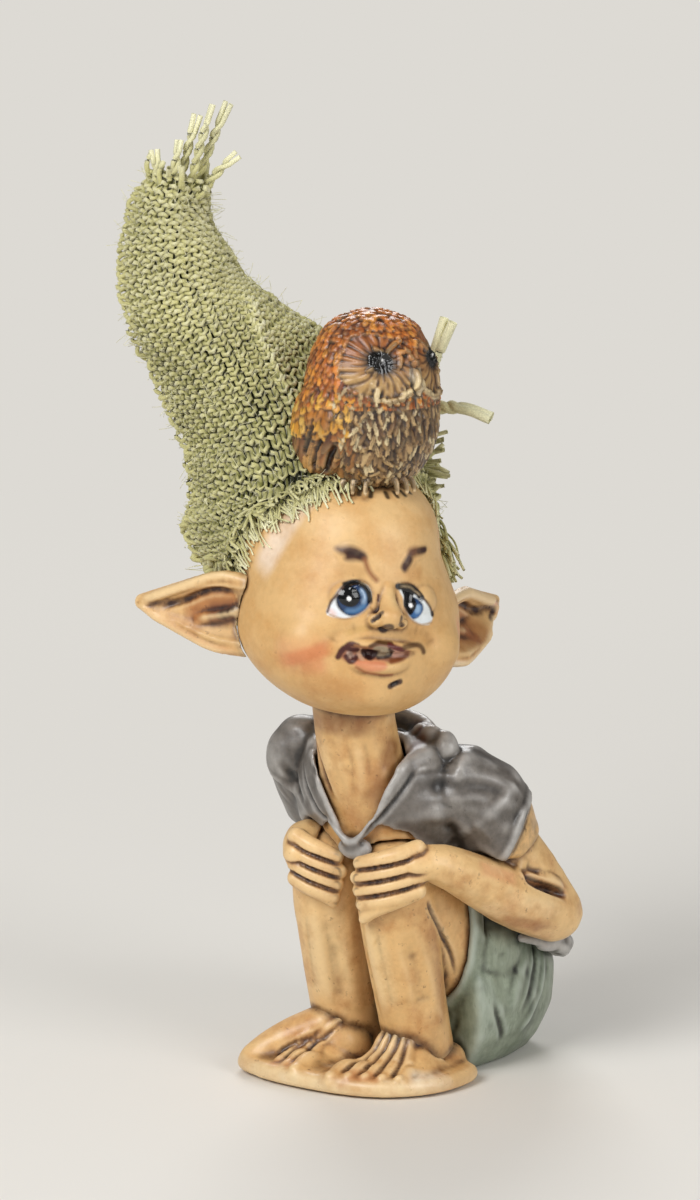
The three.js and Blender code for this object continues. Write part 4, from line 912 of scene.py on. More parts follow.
# Shapes in the order in which they are painted: outline or line, half width, colour, softness.
SKETCH = [
    # The open mouth, tongue, lips and teeth, and the gap between the teeth.
    ([(-5.4, 8.9), (-5, 9.8), (-4.3, 10.2), (-2.8, 9.9), (-1.2, 10.8), (0.6, 10.7), (2.3, 10.2), (3.4, 9.8),
        (2.8, 9.1), (1.1, 8.6), (-0.5, 8.7), (-2.6, 8.7), (-4, 8.1), (-4.7, 8.3)], FILLED, "#9A6448", 0.4),
    ([(-3.8, 8.2), (-3.1, 7.7), (-2.1, 7.3), (-1, 7.4), (0, 7.8), (-0.1, 8.4), (-1.6, 8.5), (-2.9, 8.4)],
        FILLED, "#D2845C", 0.5),
    ([(-3.1, 9.7), (-3.0, 9.2), (-2.9, 8.9)], 0.4, "#CCA284", 0.3),
    ([(-4.4, 9.1), (-4.2, 8.9)], 0.4, "#BFA496", 0.3),
    ([(0.9, 10), (1.5, 9.5), (2.3, 9.4)], 0.5, "#DCA892", 0.3),
    ([(-1.6, 10.1), (-1, 10.4), (-0.1, 10.3), (1, 9.7), (0.8, 9.2), (-0.1, 9), (-0.8, 9)],
        FILLED, "#93836A", 0.25),
    ([(-2.9, 9.9), (-2.7, 9.3), (-2.4, 8.9), (-1.8, 8.7), (-1.1, 9.1), (-1, 9.6), (-1.9, 9.8)],
        FILLED, "#2C0A08", 0.2),
    ([(-2.0, 9.5), (-1.7, 9.4)], 0.14, "#7A5A58", 0.2),
    ([(-4.8, 8.8), (-4.4, 8.3), (-4.1, 8.2), (-3.5, 8.8)], 0.28, "#47180D", 0.2),
    ([(-5.7, 8.6), (-5.4, 9.4), (-5, 9.9), (-4.4, 10.4), (-3.7, 10.3)], 0.34, "#4A1C10", 0.25),
    ([(-3.9, 10.3), (-3.2, 10.2), (-2.5, 10.2), (-2.1, 10.4)], 0.2, "#8A5A34", 0.25),
    ([(-5.4, 9.4), (-5, 9.8), (-4.1, 9.7), (-3.5, 9.7)], 0.3, "#431510", 0.2),
    ([(-2.1, 10.4), (-1.2, 10.9), (-0.3, 10.9), (0.6, 10.9)], 0.27, "#563718", 0.25),
    ([(0.3, 10.7), (1.1, 10.4), (2.2, 10.2)], 0.33, "#571510", 0.25),
    ([(2.4, 10.5), (3.6, 10.7), (4.6, 10.7), (5.3, 10.3), (5.6, 9.8)], 0.32, "#664620", 0.3),
    ([(-0.8, 8.9), (0.1, 9), (0.8, 9.2), (1, 9.7), (0.3, 10.2)], 0.18, "#3A2012", 0.2),
    ([(0.9, 8.6), (1.8, 8.8), (2.7, 9.1), (3.2, 9.4)], 0.28, "#7C421C", 0.3),
    ([(-3.5, 7.6), (-2.7, 7.2), (-2.1, 7), (-0.9, 6.9), (0.2, 6.8), (1.3, 6.9)], 0.16, "#A8683E", 0.3),
    # The mark on the chin, then the two brows.
    ([(1.3, 5.4), (1.9, 5.7), (2.6, 6)], 0.38, "#35100C", 0.2),
    ([(-6.4, 21.8), (-5.8, 22), (-4.9, 22.2), (-4.1, 22), (-3.3, 21.5), (-3.2, 21), (-3.7, 20.8),
        (-4.5, 20.8), (-5.3, 20.7), (-5.5, 21.2), (-6.1, 21.5)], FILLED, "#45200F", 0.7),
    ([(-5.0, 21.5), (-4.2, 21.5), (-3.5, 21.2)], 0.4, "#2C0E06", 0.5),
    ([(-3.2, 20.9), (-2.9, 20.1), (-2.5, 19.3), (-1.7, 18.5)], 0.26, "#8A5228", 0.6),
    ([(2.6, 21.7), (2.7, 22.3), (3.5, 22.6), (4.4, 22.6), (5.3, 22.5), (4.9, 22.1), (3.9, 21.9),
        (3.2, 21.7)], FILLED, "#623A1E", 0.6),
    ([(4.1, 22.3), (5.1, 22.4)], 0.36, "#330B04", 0.3),
    ([(2.6, 21.7), (3, 21.2), (2.5, 20.3), (2.1, 19.8), (1.7, 20.3), (2, 21)], FILLED, "#3A180C", 0.5),
    # Creases beside the nose and the nostril, then the whites of the eyes.
    ([(-1.4, 16.7), (-1.4, 16)], 0.13, "#6A3A20", 0.15),
    ([(-2.3, 15.1), (-1.9, 14.6)], 0.15, "#B0844A", 0.2),
    ([(-0.55, 12.9), (-0.5, 12.8)], 0.72, "#35100B", 0.2),
    ([(-0.6, 12.75), (-0.5, 12.7)], 0.2, "#6E4034", 0.3),
    (near_rim, FILLED, "#E6EAEE", 0.15),
    ([(-7.0, 14.2), (-6.6, 13.9)], 0.3, "#E8CFCB", 0.5),
    (far_rim, FILLED, "#E3E9EC", 0.15),
]
FACE_FRONT_Y = -8.5
face_front = np.flatnonzero(local[:, 1] < FACE_FRONT_Y)
face_flat = local[face_front][:, [0, 2]]
paint = read_layer(head, "paint", 4)


def near_sketch(points, reach=0.6):
    """Spots on the front of the head close to a sketched shape."""
    points = np.array(points)
    close = ((face_flat > points.min(0) - reach) & (face_flat < points.max(0) + reach)).all(1)
    return face_front[close], face_flat[close], points


def sketch(points, half, code, soft, within=None):
    """One shape of the painted face: a filled outline or a line, kept inside another outline if given."""
    spots, plane, points = near_sketch(points, 0.6 + (half or 0))
    if half is FILLED:
        reach = off_outline(plane, points) - GROW
    else:
        reach = off_line(plane, curve_through(points, 24)) - half
    if within is not None:
        reach = np.maximum(reach, off_outline(plane, np.array(within)))
    dab(paint, spots, reach, code, soft)


# Iris, pupil and glint of each eye, kept inside its rim, then the lids and creases.
EYE_PAINT = [
    ([(-4.4, 16.0), (-4.3, 16.0)], 2.2, "#0C1626", 0.25, near_rim),
    ([(-4.4, 16.0), (-4.3, 16.0)], 1.95, "#1F3B64", 0.35, near_rim),
    ([(-5.0, 14.5), (-4.1, 14.6), (-3.2, 15.2)], 0.34, "#4F76A0", 0.5, near_rim),
    ([(-3.5, 17.0), (-3.1, 16.4), (-3.2, 15.8)], 0.3, "#8FA9C6", 0.5, near_rim),
    ([(-5.2, 16.3), (-5.0, 16.25)], 1.26, "#040507", 0.15, near_rim),
    ([(-5.2, 16.05), (-5.15, 16.0)], 0.25, "#FFFFFF", 0.12, near_rim),
    ([(3.2, 15.4), (3.5, 15.2)], 1.3, "#16273F", 0.25, far_rim),
    ([(3.4, 15.1), (3.8, 15.0)], 0.95, "#3F6A9E", 0.35, far_rim),
    ([(4.0, 15.4), (4.1, 15.0)], 0.35, "#8FB0D2", 0.4, far_rim),
    ([(3.8, 16.2), (3.9, 16.0)], 0.22, "#22406A", 0.2, far_rim),
    ([(1.9, 17.7), (2.2, 16.7), (2.2, 15.9), (2.4, 15.2), (3.1, 14.6), (3.6, 15.2), (3.6, 16), (3.2, 16.7),
        (3.4, 17.6)], FILLED, "#040507", 0.15),
    ([(3.05, 15.65), (3.15, 15.55)], 0.24, "#FFFFFF", 0.12, far_rim),
    (EYES[-1]["crease"], 0.13, "#4A3020", 0.2),
    (EYES[-1]["lid"], 0.32, "#080608", 0.2),
    (EYES[1]["crease"], 0.17, "#4A3020", 0.2),
    (EYES[1]["lid"], 0.42, "#080608", 0.2),
    ([(6.5, 14.7), (6.6, 14.4)], 0.24, "#2A1A10", 0.2),
    (EYES[-1]["low"], 0.1, "#B08A60", 0.3),
    (EYES[1]["low"], 0.1, "#B08A60", 0.3),
]
for shape in SKETCH + EYE_PAINT:
    sketch(*shape)
write_layer(head, "paint", paint)
hand_painted = np.zeros(len(local))
spots, plane, outline = near_sketch(SKETCH[0][0])
hand_painted[spots] = np.clip(0.5 - (off_outline(plane, outline) - 0.4) / 0.5, 0, 1)
glaze = np.zeros(len(local), np.float32)
for rim in (near_rim, far_rim):
    spots, plane, rim = near_sketch(rim)
    glaze[spots] = np.maximum(glaze[spots], np.clip(0.5 - off_outline(plane, rim) / 0.2, 0, 1))
write_layer(head, "glaze", glaze)
# Face paint: the same ochre cream, laid on smoother and wiped cleaner than on the limbs.
face_paint = painted_resin(
    "ochre_face_paint_on_polyresin", WASH_AND_SHADE_BROWN, SKIN_LIGHT,
    blot_mm=1.6, gloss=0.46, coat=0.08, streak=1.0, grain=0.05, flush="#E8D0AC", speck=0.12,
)
dress(head, face_paint, "skin_paint", "head")

# Ears: two long pointed leaves cast apart and glued into the sides of the head, swept back.
# The rim is rolled and the bowl in front is painted deep brown towards the root.
ears = {}
EAR_SWEEP = math.radians(50)
EAR_LONG = 16.5


def ear_axes(sign):
    """Along an ear to its tip, and out of the bowl in front of it."""
    along = np.array([sign * math.cos(EAR_SWEEP), math.sin(EAR_SWEEP), 0])
    return along, np.array([sign * math.sin(EAR_SWEEP), -math.cos(EAR_SWEEP), 0])


def on_ear(sign, front, *spots):
    """Places on an ear: share of its length and how high, all at one distance in front of its middle."""
    along, facing = ear_axes(sign)
    root = np.array([sign * 12.6, 1.2, 11])
    return [tuple(root + along * share * EAR_LONG + facing * front + (0, 0, rise)) for share, rise in spots]


for side, sign in (("left", 1), ("right", -1)):
    ear = casting(side + "_ear", 0.2, 14)
    if sign > 0:
        fuse(ear, [lump(on_ear(1, 0, (0.94, -1.2))[0], (1.1, 1.0, 1.2), FACE)], 0.2, 4)
    upper = on_ear(sign, 1.2, (0.05, 5), (0.3, 4.8), (0.6, 2.6), (0.85, 0.2), (1.0, -1.2))
    lower = on_ear(sign, 1.2, (0.05, -5), (0.3, -5.2), (0.6, -4.2), (0.85, -3.0), (1.0, -2.0))
    press(ear, [(upper, 0.9, 0.45), (lower, 0.9, 0.45)], FACE)
    bowl = [
        (on_ear(sign, 1, (0.1, 2.6), (0.35, 2.2), (0.6, 0.4), (0.8, -0.8)), 0.8, -0.5),
        (on_ear(sign, 1, (0.05, 0.6), (0.3, -0.6), (0.5, -1.6)), 1.0, 0.5),
    ]
    press(ear, bowl, FACE)
    undercoat(ear, SKIN)
    strokes = [
        (on_ear(sign, 1, (0.0, 1.5), (0.3, 0.8), (0.62, -0.9)), 2.9, "#A8662F", 0.8),
        (on_ear(sign, 1, (0.0, 0.4), (0.25, 0.0), (0.4, -0.4)), 2.0, "#6E3417", 0.85),
        (lower, 1.0, "#DF9B6B", 0.5),
        (upper, 0.8, SKIN_LIGHT, 0.7),
    ]
    brush(ear, strokes, FACE)
    ink(ear, [(on_ear(sign, 1, (0.04, 1.6), (0.2, 0.4), (0.3, -1.0)), 1.0, 0.8)], FACE)
    if sign > 0:
        along, facing = ear_axes(sign)
        local = in_frame(ear, FACE)
        share = ((local - on_ear(1, 0, (0, 0))[0]) @ along) / EAR_LONG
        lift = np.clip((share - 0.25) / 0.75, 0, 1)[:, None] ** 1.3
        lobe = np.clip((10.6 - local[:, 2]) / 3, 0, 1)
        lobe = lobe * np.clip(share / 0.3, 0, 1) * np.clip((1.05 - share) / 0.3, 0, 1)
        strokes = [
            (on_ear(1, 1, (0.1, 0), (0.45, -1.6), (0.6, -2.6)), 3.2, "#A9723C", 0.85),
            (on_ear(1, 1, (0.2, 2), (0.34, -0.6), (0.5, -2.4)), 1.0, "#8A4A22", 0.7),
            (upper, 0.9, "#EAD2B0", 0.9),
            (lower, 0.8, "#EBD8BC", 0.9),
            (on_ear(1, 1, (0.93, -0.6), (0.98, -1.6)), 0.8, "#DDA490", 0.7),
            (on_ear(1, 1, (0.84, -1.6), (0.9, -0.9)), 0.55, "#3A140C", 1.0),
        ]
        brush(ear, strokes, FACE, fade=0)
        local += lift * (2.2, 0, 2.5)
        dip = np.clip((local[:, 2] - 12.5) / 3, 0, 1) * np.clip((0.5 - share) / 0.3, 0, 1)
        local[:, 2] -= 1.7 * dip
        waist = np.clip((share - 0.5) / 0.3, 0, 1) * np.exp(-(((local[:, 2] - 10.2) / 2.2) ** 2))
        local -= waist[:, None] * 1.5 * along
        local += lobe[:, None] * 2.2 * facing
        move_points(ear, placed(local, FACE))
    ears[side] = ear
    dress(ear, skin_paint, "skin_paint", side + "_ear")

# Owl: a little tawny owl cast by itself and pegged into the brow, all carved in overlapping feathers.
# Rust brown above, streaked cream below, with round eyes in pale discs and pale claws on the brow.
OWL_FOOT = (1.5, -3.2, 28.6)
OWL_SIZE = (8.5, 8.2, 22.6)
OWL = HEAD @ Matrix.Translation(OWL_FOOT) @ Matrix.Rotation(math.radians(22), 4, "Z")
OWL_ROWS = (
    (0.0, 0.06, 0.3, 0.32),
    (0.1, 0.06, 0.72, 0.74),
    (0.28, 0.02, 0.95, 0.98),
    (0.5, 0, 1, 1),
    (0.7, -0.02, 0.96, 0.95),
    (0.86, 0, 0.78, 0.76),
    (0.95, 0.02, 0.52, 0.5),
    (1.01, 0.02, 0.05, 0.05),
)
owl = shaped_ball("owl_casting", 60, 48, OWL_ROWS, OWL_SIZE, OWL)
EYE_OUT, EYE_UP, DISC, DISC_UP = 4.2, 16.9, 3.9, 16.2
body = [lump((0, 6.4, 3.4), (3.6, 2.6, 3.6), OWL, turn=(0.5, 0, 0))]
for sign in (1, -1):
    body.append(lump((sign * 7.2, 1.4, 8.4), (2.2, 5.0, 6.2), OWL, turn=(0.25, 0, 0)))
    body.append(lump((sign * 5.6, 3.6, 3.8), (2.0, 3.2, 3.6), OWL, turn=(0.35, 0, 0)))
fuse(owl, body, 0.3, 10)
beak = roll([(0, -7.0, 15.6), (0, -8.5, 14.2), (0, -8.7, 12.8)], [0.8, 0.75, 0.3], OWL)
CLAWS = [math.radians(a) for a in (-98, -82, -66, -50, -10, 5, 20)]
CLAW_GAPS = [math.radians(a) for a in (-106, -90, -74, -58, -42, -18, -2, 13, 28)]


def round_foot(angle, out, level):
    """A place round the owl's feet: out from its middle and up from the brow."""
    return (out * math.sin(angle), -out * math.cos(angle), level)


claws = []
for a in CLAWS:
    route = [round_foot(a, 4.4, 2.2), round_foot(a, 5.6, 1.5), round_foot(a, 6.0, 0.2)]
    claws.append(roll(route, [0.4, 0.42, 0.28], OWL))
fuse(owl, [beak, *claws], 0.18, 3)
PIN_START = 12
OWL_GIRTH = 8.0


def rows_of_feathers(levels, turns, wide, loose, pick):
    """Roots in uneven, staggered rows round the body: each is where a pin starts and which way it goes in."""
    roots = []
    for r, level in enumerate(levels):
        for turn in np.arange(*turns, wide / OWL_GIRTH):
            angle = turn + (0.5 * (r % 2) + pick.uniform(-loose, loose)) * wide / OWL_GIRTH
            height = level + pick.uniform(-loose, loose) * (levels[1] - levels[0])
            x, y = math.sin(angle), -math.cos(angle)
            roots.append(((PIN_START * x, PIN_START * y, height), (-x, -y, 0)))
    return roots


pick = np.random.default_rng(3)
cap = []
for ring in np.arange(0.3, 6.6, 0.75):
    for turn in np.arange(0, 2 * math.pi, 0.85 / max(ring, 0.4)):
        turn += pick.uniform(-0.2, 0.2)
        cap.append(((ring * math.cos(turn), ring * math.sin(turn), 30), (0, 0, -1)))
BACK = (1.1, 2 * math.pi - 1.1)
FEATHERS = {
    "crown": {
        "roots": rows_of_feathers(np.arange(11.5, 21.6, 0.8), (-math.pi, math.pi), 0.95, 0.3, pick) + cap,
        "half": (0.46, 0.85), "slant": (0.0, 0.15), "levels": (11, 30),
        "shades": ("#D47A28", "#C06A1E", "#DE9034", "#823F14", "#AE5C1A"),
    },
    "belly": {
        "roots": rows_of_feathers(np.arange(0.4, 13.6, 1.0), (-1.25, 1.25), 0.62, 0.6, pick),
        "half": (0.3, 1.3), "slant": (0.1, 0.4), "levels": (-1, 13.8),
        "shades": ("#D2C096", "#8A6A42", "#3E2716", "#B89A6C", "#5E4026"),
    },
    "shoulder": {
        "roots": rows_of_feathers(np.arange(7.6, 13.6, 1.0), BACK, 1.15, 0.3, pick),
        "half": (0.6, 1.1), "slant": (0.0, 0.2), "levels": (7, 14),
        "shades": ("#DFA638", "#D39430", "#C27E2C", "#E6B858", "#9C6024"),
    },
    "quills": {
        "roots": rows_of_feathers(np.arange(0.4, 7.8, 2.2), BACK, 1.25, 0.3, pick),
        "half": (0.6, 2.3), "slant": (-0.3, 0.1), "levels": (-1, 8.2),
        "shades": ("#8A5526", "#70421D", "#9C6A34", "#B98948", "#5A3216"),
    },
}
FEATHER_LIFT, FEATHER_EDGE, FEATHERS_NEAR = 0.32, 1.15, 9
OWL_FRONT_Y = -2.5


def finder_of(points):
    finder = KDTree(len(points))
    for k, point in enumerate(points):
        finder.insert(point, k)
    finder.balance()
    return finder


owl_tree = tree_of(owl)
spots = in_frame(owl, OWL)
co = points_of(owl)
relief = np.full(len(spots), -0.05)
tone = np.tile(linear("#7A4820"), (len(spots), 1))
for kind in FEATHERS.values():
    half_wide, half_long = kind["half"]
    places, downs, sides, shades, lengths = [], [], [], [], []
    for start, aim in kind["roots"]:
        hit, facing, _, _ = owl_tree.ray_cast(OWL @ Vector(start) * MM, OWL.to_3x3() @ Vector(aim))
        slant = pick.normal(*kind["slant"])
        shade = linear(kind["shades"][int(pick.integers(5))]) * pick.uniform(0.85, 1.12)
        length = half_long * pick.uniform(0.75, 1.2)
        if hit is None:
            continue
        up = Vector((0, 0, 1))
        down = (facing * up.dot(facing) - up).normalized()
        hang = down * math.cos(slant) + facing.cross(down) * math.sin(slant)
        places.append(hit)
        downs.append(hang)
        sides.append(facing.cross(hang))
        shades.append(shade)
        lengths.append(length)
    places, downs, sides, shades = (np.array(x) for x in (places, downs, sides, shades))
    finder = finder_of(places)
    low, high = kind["levels"]
    for v in np.flatnonzero((spots[:, 2] > low) & (spots[:, 2] < high)):
        for _, k, gap in finder.find_n(co[v], FEATHERS_NEAR):
            if gap > half_long * 1.5 * MM:
                break
            away = co[v] - places[k]
            along = away @ downs[k] / (lengths[k] * MM)
            across = away @ sides[k] / (half_wide * MM)
            height = FEATHER_LIFT * (0.5 + 0.5 * along - 0.35 * across * across)
            if along * along + across * across < FEATHER_EDGE and height > relief[v]:
                relief[v] = height
                quill = 0.5 if abs(across) < 0.22 and along < 0.6 and k % 3 else 1.0
                tone[v] = shades[k] * quill
tone[:, 3] = 1
front = spots[:, 1] < OWL_FRONT_Y
for sign in (1, -1):
    dx, dz = spots[:, 0] - sign * EYE_OUT, spots[:, 2] - DISC_UP
    gap = np.hypot(dx, dz) / DISC
    inside = front & (gap < 1)
    spoke = np.arctan2(spots[:, 2] - EYE_UP, spots[:, 0] - sign * EYE_OUT)
    barb = np.sin(spoke * 17 + 1.3 * np.sin(gap * 9)) + 0.7 * np.sin(spoke * 29 + 4 * gap)
    beads = np.clip((gap - 0.78) / 0.2, 0, 1) * (0.5 + 0.5 * np.sin(np.arctan2(dz, dx) * 30))
    relief = np.where(inside, -0.12 + 0.04 * barb + 0.12 * gap + 0.12 * beads, relief)
    upper = np.clip(0.5 + dz / 3.2, 0, 1)[:, None]
    light = linear("#B7935C") * (1 - upper) + linear("#9C5A24") * upper
    dark = linear("#7C5A34") * (1 - upper) + linear("#66381A") * upper
    streak = np.clip(-barb / 1.2, 0, 1)[:, None] * 0.8
    tone = np.where(inside[:, None], light * (1 - streak) + dark * streak, tone)
turn = np.arctan2(spots[:, 0], -spots[:, 1])
girth = np.hypot(spots[:, 0], spots[:, 1])
on_claw = np.zeros(len(spots), bool)
for a in CLAWS:
    on_claw |= (np.abs(turn - a) < 0.075) & (girth > 5.15) & (spots[:, 2] < 2.1)
on_beak = (np.abs(spots[:, 0]) < 1.0) & (spots[:, 1] < -7.6) & (np.abs(spots[:, 2] - 14.2) < 1.8)
relief = np.where(on_claw | on_beak, 0, relief)
tone[on_claw] = linear("#DCC8A4")
tone[on_beak] = linear("#C2B394")
move_points(owl, co + normals_of(owl) * (relief * MM)[:, None])
undercoat(owl, "#A8642C")
write_layer(owl, "paint", tone)
slits = [
    [(-9.6, 0.4, 9.0), (-9.4, 1.4, 7.0), (-9.0, 2.6, 4.6)],
    [(-9.0, -0.7, 7.4), (-8.9, 0.4, 5.4), (-8.5, 1.6, 3.0)],
    [(-8.4, -2.6, 6.6), (-8.2, -1.2, 4.6), (-7.8, 0.4, 2.4)],
]
slits += [[(-x, y, z) for x, y, z in line] for line in slits]


def round_disc(sign, turns, radius):
    """An arc in front of one of the pale discs round the eyes."""
    return [(sign * EYE_OUT + radius * math.cos(a), -9.5, DISC_UP + radius * math.sin(a)) for a in turns]


rings, rims, pits = [], [], []
for sign in (1, -1):
    full = np.radians(np.arange(-170, 200, 15))
    under = np.radians(np.arange(-175, 11, 15))
    over = np.radians(np.arange(10, 175, 15))
    rings.append((round_disc(sign, full, DISC), 0.55, 0.4))
    rims.append((round_disc(sign, under, DISC), 0.6, "#E4D2A6", 1.0))
    rims.append((round_disc(sign, over, DISC), 0.5, "#C07A38", 0.8))
    pits.append((round_disc(sign, full, DISC + 0.6), 0.3, 0.6))
press(owl, [(line, 0.5, -0.5) for line in slits] + rings, OWL, fade=0.1)
brush(owl, rims, OWL, edge=0.4)
pits += [(line, 0.42, 0.95) for line in slits]
# The dark gaps between the claws, inked on the owl and brushed on the brow below them, are painted shade.
pits += [([round_foot(a, 6.0, 1.9), round_foot(a, 6.2, 0.2)], 0.42, 1.0) for a in CLAW_GAPS]
ink(owl, pits, OWL)
shade_between_claws = [([round_foot(a, 4.9, 1.0), round_foot(a, 5.8, 0.6)], 0.45, "#1C100A", 0.9) for a in CLAW_GAPS]
brush(head, shade_between_claws, OWL, fade=0)
paint = read_layer(owl, "paint", 4)
spots = in_frame(owl, OWL)
glaze = np.zeros(len(spots), np.float32)
front = spots[:, 1] < OWL_FRONT_Y
for sign in (1, -1):
    gap = np.hypot(spots[:, 0] - sign * EYE_OUT, spots[:, 2] - EYE_UP)
    near = np.flatnonzero(front & (gap < 3))
    dab(paint, near, gap[near] - 1.8, "#2A170B", 0.9)
    dab(paint, near, gap[near] - 1.3, "#050505", 0.15)
    # The white dot on each glossy eye is a painted glint, a painted reflection.
    painted_glint = np.hypot(spots[:, 0] - sign * EYE_OUT - 0.1, spots[:, 2] - EYE_UP - 0.3)
    dab(paint, near, painted_glint[near] - 0.2, "#FFFFFF", 0.12)
    glaze[near] = np.clip(0.5 - (gap[near] - 1.35) / 0.2, 0, 1)
write_layer(owl, "paint", paint)
write_layer(owl, "glaze", glaze)
owl_paint = painted_resin(
    "rust_feather_paint_on_polyresin", "#23120A", "#E2BE82",
    blot_mm=1.1, gloss=0.42, coat=0.25, streak=1.0, grain=0.12, flush="#9A6A40", speck=0.2,
)
dress(owl, owl_paint, "owl_paint", "owl")

# Hat: a tall pointed hat of sage green yarn, knitted and worn purl side out, glued to the scalp.
# Its tip is left raw, so the last yarns stand up in a fringe, and two loose ends show beside the owl.
# Each row: a place on the spine, then half width and half depth as shares from the tip's to the rim's.
HAT_SPINE = np.array(
    [
        (-1.5, 4, 8, 1, 1),
        (-1.7, 5.2, 15, 1, 1),
        (-2.2, 6.6, 22, 1, 1),
        (-3.2, 8.6, 29.5, 0.93, 0.9),
        (-6.7, 11.5, 37, 0.7, 0.62),
        (-11.5, 13.8, 43.5, 0.48, 0.42),
        (-15.6, 15.7, 49.5, 0.34, 0.26),
        (-17.4, 17, 55, 0.27, 0.18),
        (-18, 17.8, 60.6, 0.13, 0.1),
        (-17, 17.4, 66.6, 0.02, 0),
    ]
)
HAT_ROWS, HAT_TURNS = 400, 361


def unit(vectors):
    return vectors / np.linalg.norm(vectors, axis=1)[:, None]


hat_line = curve_through(HAT_SPINE, HAT_ROWS)
hat_centre = hat_line[:, :3]
TIP_WIDE, TIP_DEEP, RIM_WIDER, RIM_DEEPER = 3.6, 2.6, 12.2, 12.8
hat_wide = TIP_WIDE + RIM_WIDER * hat_line[:, 3]
hat_deep = TIP_DEEP + RIM_DEEPER * hat_line[:, 4]
hat_along = unit(np.gradient(hat_centre, axis=0))
hat_side = np.array([0.95, -0.3, 0]) / np.linalg.norm([0.95, -0.3, 0])
hat_across = unit(hat_side - hat_along * (hat_along @ hat_side)[:, None])
hat_over = np.cross(hat_along, hat_across)


def hat_points(row, angle, out):
    """Points of the hat in the head's frame: row along the spine, angle round it, out from the cloth."""
    def at(values):
        low = np.clip(row.astype(int), 0, HAT_ROWS - 2)
        share = (row - low)[:, None]
        return values[low] * (1 - share) + values[low + 1] * share
    wide, deep = at(hat_wide[:, None])[:, 0] + out, at(hat_deep[:, None])[:, 0] + out
    swing = wide * np.cos(angle) * (1 + 0.36 * np.sin(angle))
    return at(hat_centre) + at(hat_across) * swing[:, None] + at(hat_over) * (deep * np.sin(angle))[:, None]


def hat_point(row, angle, out):
    return hat_points(np.array([row]), np.array([angle]), out)[0]


def run_along(line):
    """The length of a line up to each of its points."""
    return np.concatenate([[0], np.cumsum(np.linalg.norm(np.diff(line, axis=0), axis=1))])


HAT_FRONT = math.radians(200)
SEAM = HAT_FRONT + math.pi
STITCH_WIDE = 1.75
STITCH_HIGH = 1.37
row_numbers = np.arange(float(HAT_ROWS))
angles = HAT_FRONT + np.linspace(-math.pi, math.pi, HAT_TURNS)
reach = np.empty((HAT_ROWS, HAT_TURNS))
for k in range(HAT_ROWS):
    run = run_along(hat_points(np.full(HAT_TURNS, float(k)), angles, 0))
    reach[k] = run - run[HAT_TURNS // 2]
front_run = run_along(hat_points(row_numbers, np.full(HAT_ROWS, HAT_FRONT), 0))
courses = np.interp(np.arange(0, front_run[-1], STITCH_HIGH), front_run, row_numbers)


def knit_points(course, offset, rise, out):
    """Where a bit of yarn lies: its course, how far round from the front wale, how far up, how far out."""
    run = np.interp(course, row_numbers, front_run) + rise
    row = np.interp(run, front_run, row_numbers)
    low = np.clip(np.round(row).astype(int), 0, HAT_ROWS - 1)
    angle = np.array([np.interp(o, reach[k], angles) for o, k in zip(offset, low)])
    return hat_points(row, angle, out)


RIM_UP, RIM_SLOPE = 25.0, math.radians(-47)


def above_rim(points):
    """Height above the slanting plane of the hat's rim."""
    return (points[:, 2] - RIM_UP) * math.cos(RIM_SLOPE) - points[:, 1] * math.sin(RIM_SLOPE)


def mesh_piece(name, points, faces):
    mesh = bpy.data.meshes.new(name)
    mesh.from_pydata(points, [], faces)
    piece = bpy.data.objects.new(name, mesh)
    bpy.context.scene.collection.objects.link(piece)
    select_only(piece)
    bpy.ops.object.shade_smooth()
    return piece


def tube_mesh(name, yarns, sides):
    """One mesh of many yarns: each is its points, its shades and its radius, swept with a round section."""
    verts, faces, tints = [], [], []
    start = 0
    turn = np.linspace(0, 2 * math.pi, sides, endpoint=False)[None, :, None]
    for line, shades, radius in yarns:
        along = np.gradient(line, axis=0)
        along /= np.linalg.norm(along, axis=1)[:, None] + 1e-12
        ref = np.where(np.abs(along[:, 2:3]) > 0.9, [[1.0, 0, 0]], [[0, 0, 1.0]])
        a = unit(np.cross(along, ref))
        b = np.cross(along, a)
        ring = a[:, None] * np.cos(turn) + b[:, None] * np.sin(turn)
        verts.append((line[:, None] + radius * MM * ring).reshape(-1, 3))
        i = np.arange(len(line) - 1)[:, None] * sides
        j = np.arange(sides)[None]
        k = (j + 1) % sides
        quads = np.stack([i + j, i + sides + j, i + sides + k, i + k], axis=2).reshape(-1, 4)
        faces.append(quads + start)
        tints.append(np.repeat(shades, sides))
        start += len(line) * sides
    piece = mesh_piece(name, np.concatenate(verts), np.concatenate(faces).tolist())
    write_layer(piece, "tint_and_shade", np.concatenate(tints))
    return piece


# Cloth backing: the inside of the knit, seen only between the loops, where its dark tint is painted shade,
# paler towards the back of the hat.
# It is the same sage wool, made here as one thin sheet that carries the loops and is glued at the rim.
CLOTH_IN = -1.05
rows, spokes = 120, 96
grid_row = np.repeat(np.linspace(0, HAT_ROWS - 1, rows), spokes)
grid_angle = np.tile(np.linspace(0, 2 * math.pi, spokes, endpoint=False), rows)
shell = hat_points(grid_row, grid_angle, CLOTH_IN)
keep = above_rim(shell) > 0
quads = []
for k in range(rows - 1):
    for j in range(spokes):
        low, high, after = k * spokes, (k + 1) * spokes, (j + 1) % spokes
        quad = [low + j, low + after, high + after, high + j]
        if all(keep[v] for v in quad):
            quads.append(quad)
hat_cloth = mesh_piece("hat_cloth", placed(shell, HEAD), quads)
bpy.ops.object.mode_set(mode="EDIT")
bpy.ops.mesh.select_all(action="SELECT")
bpy.ops.mesh.delete_loose()
bpy.ops.object.mode_set(mode="OBJECT")

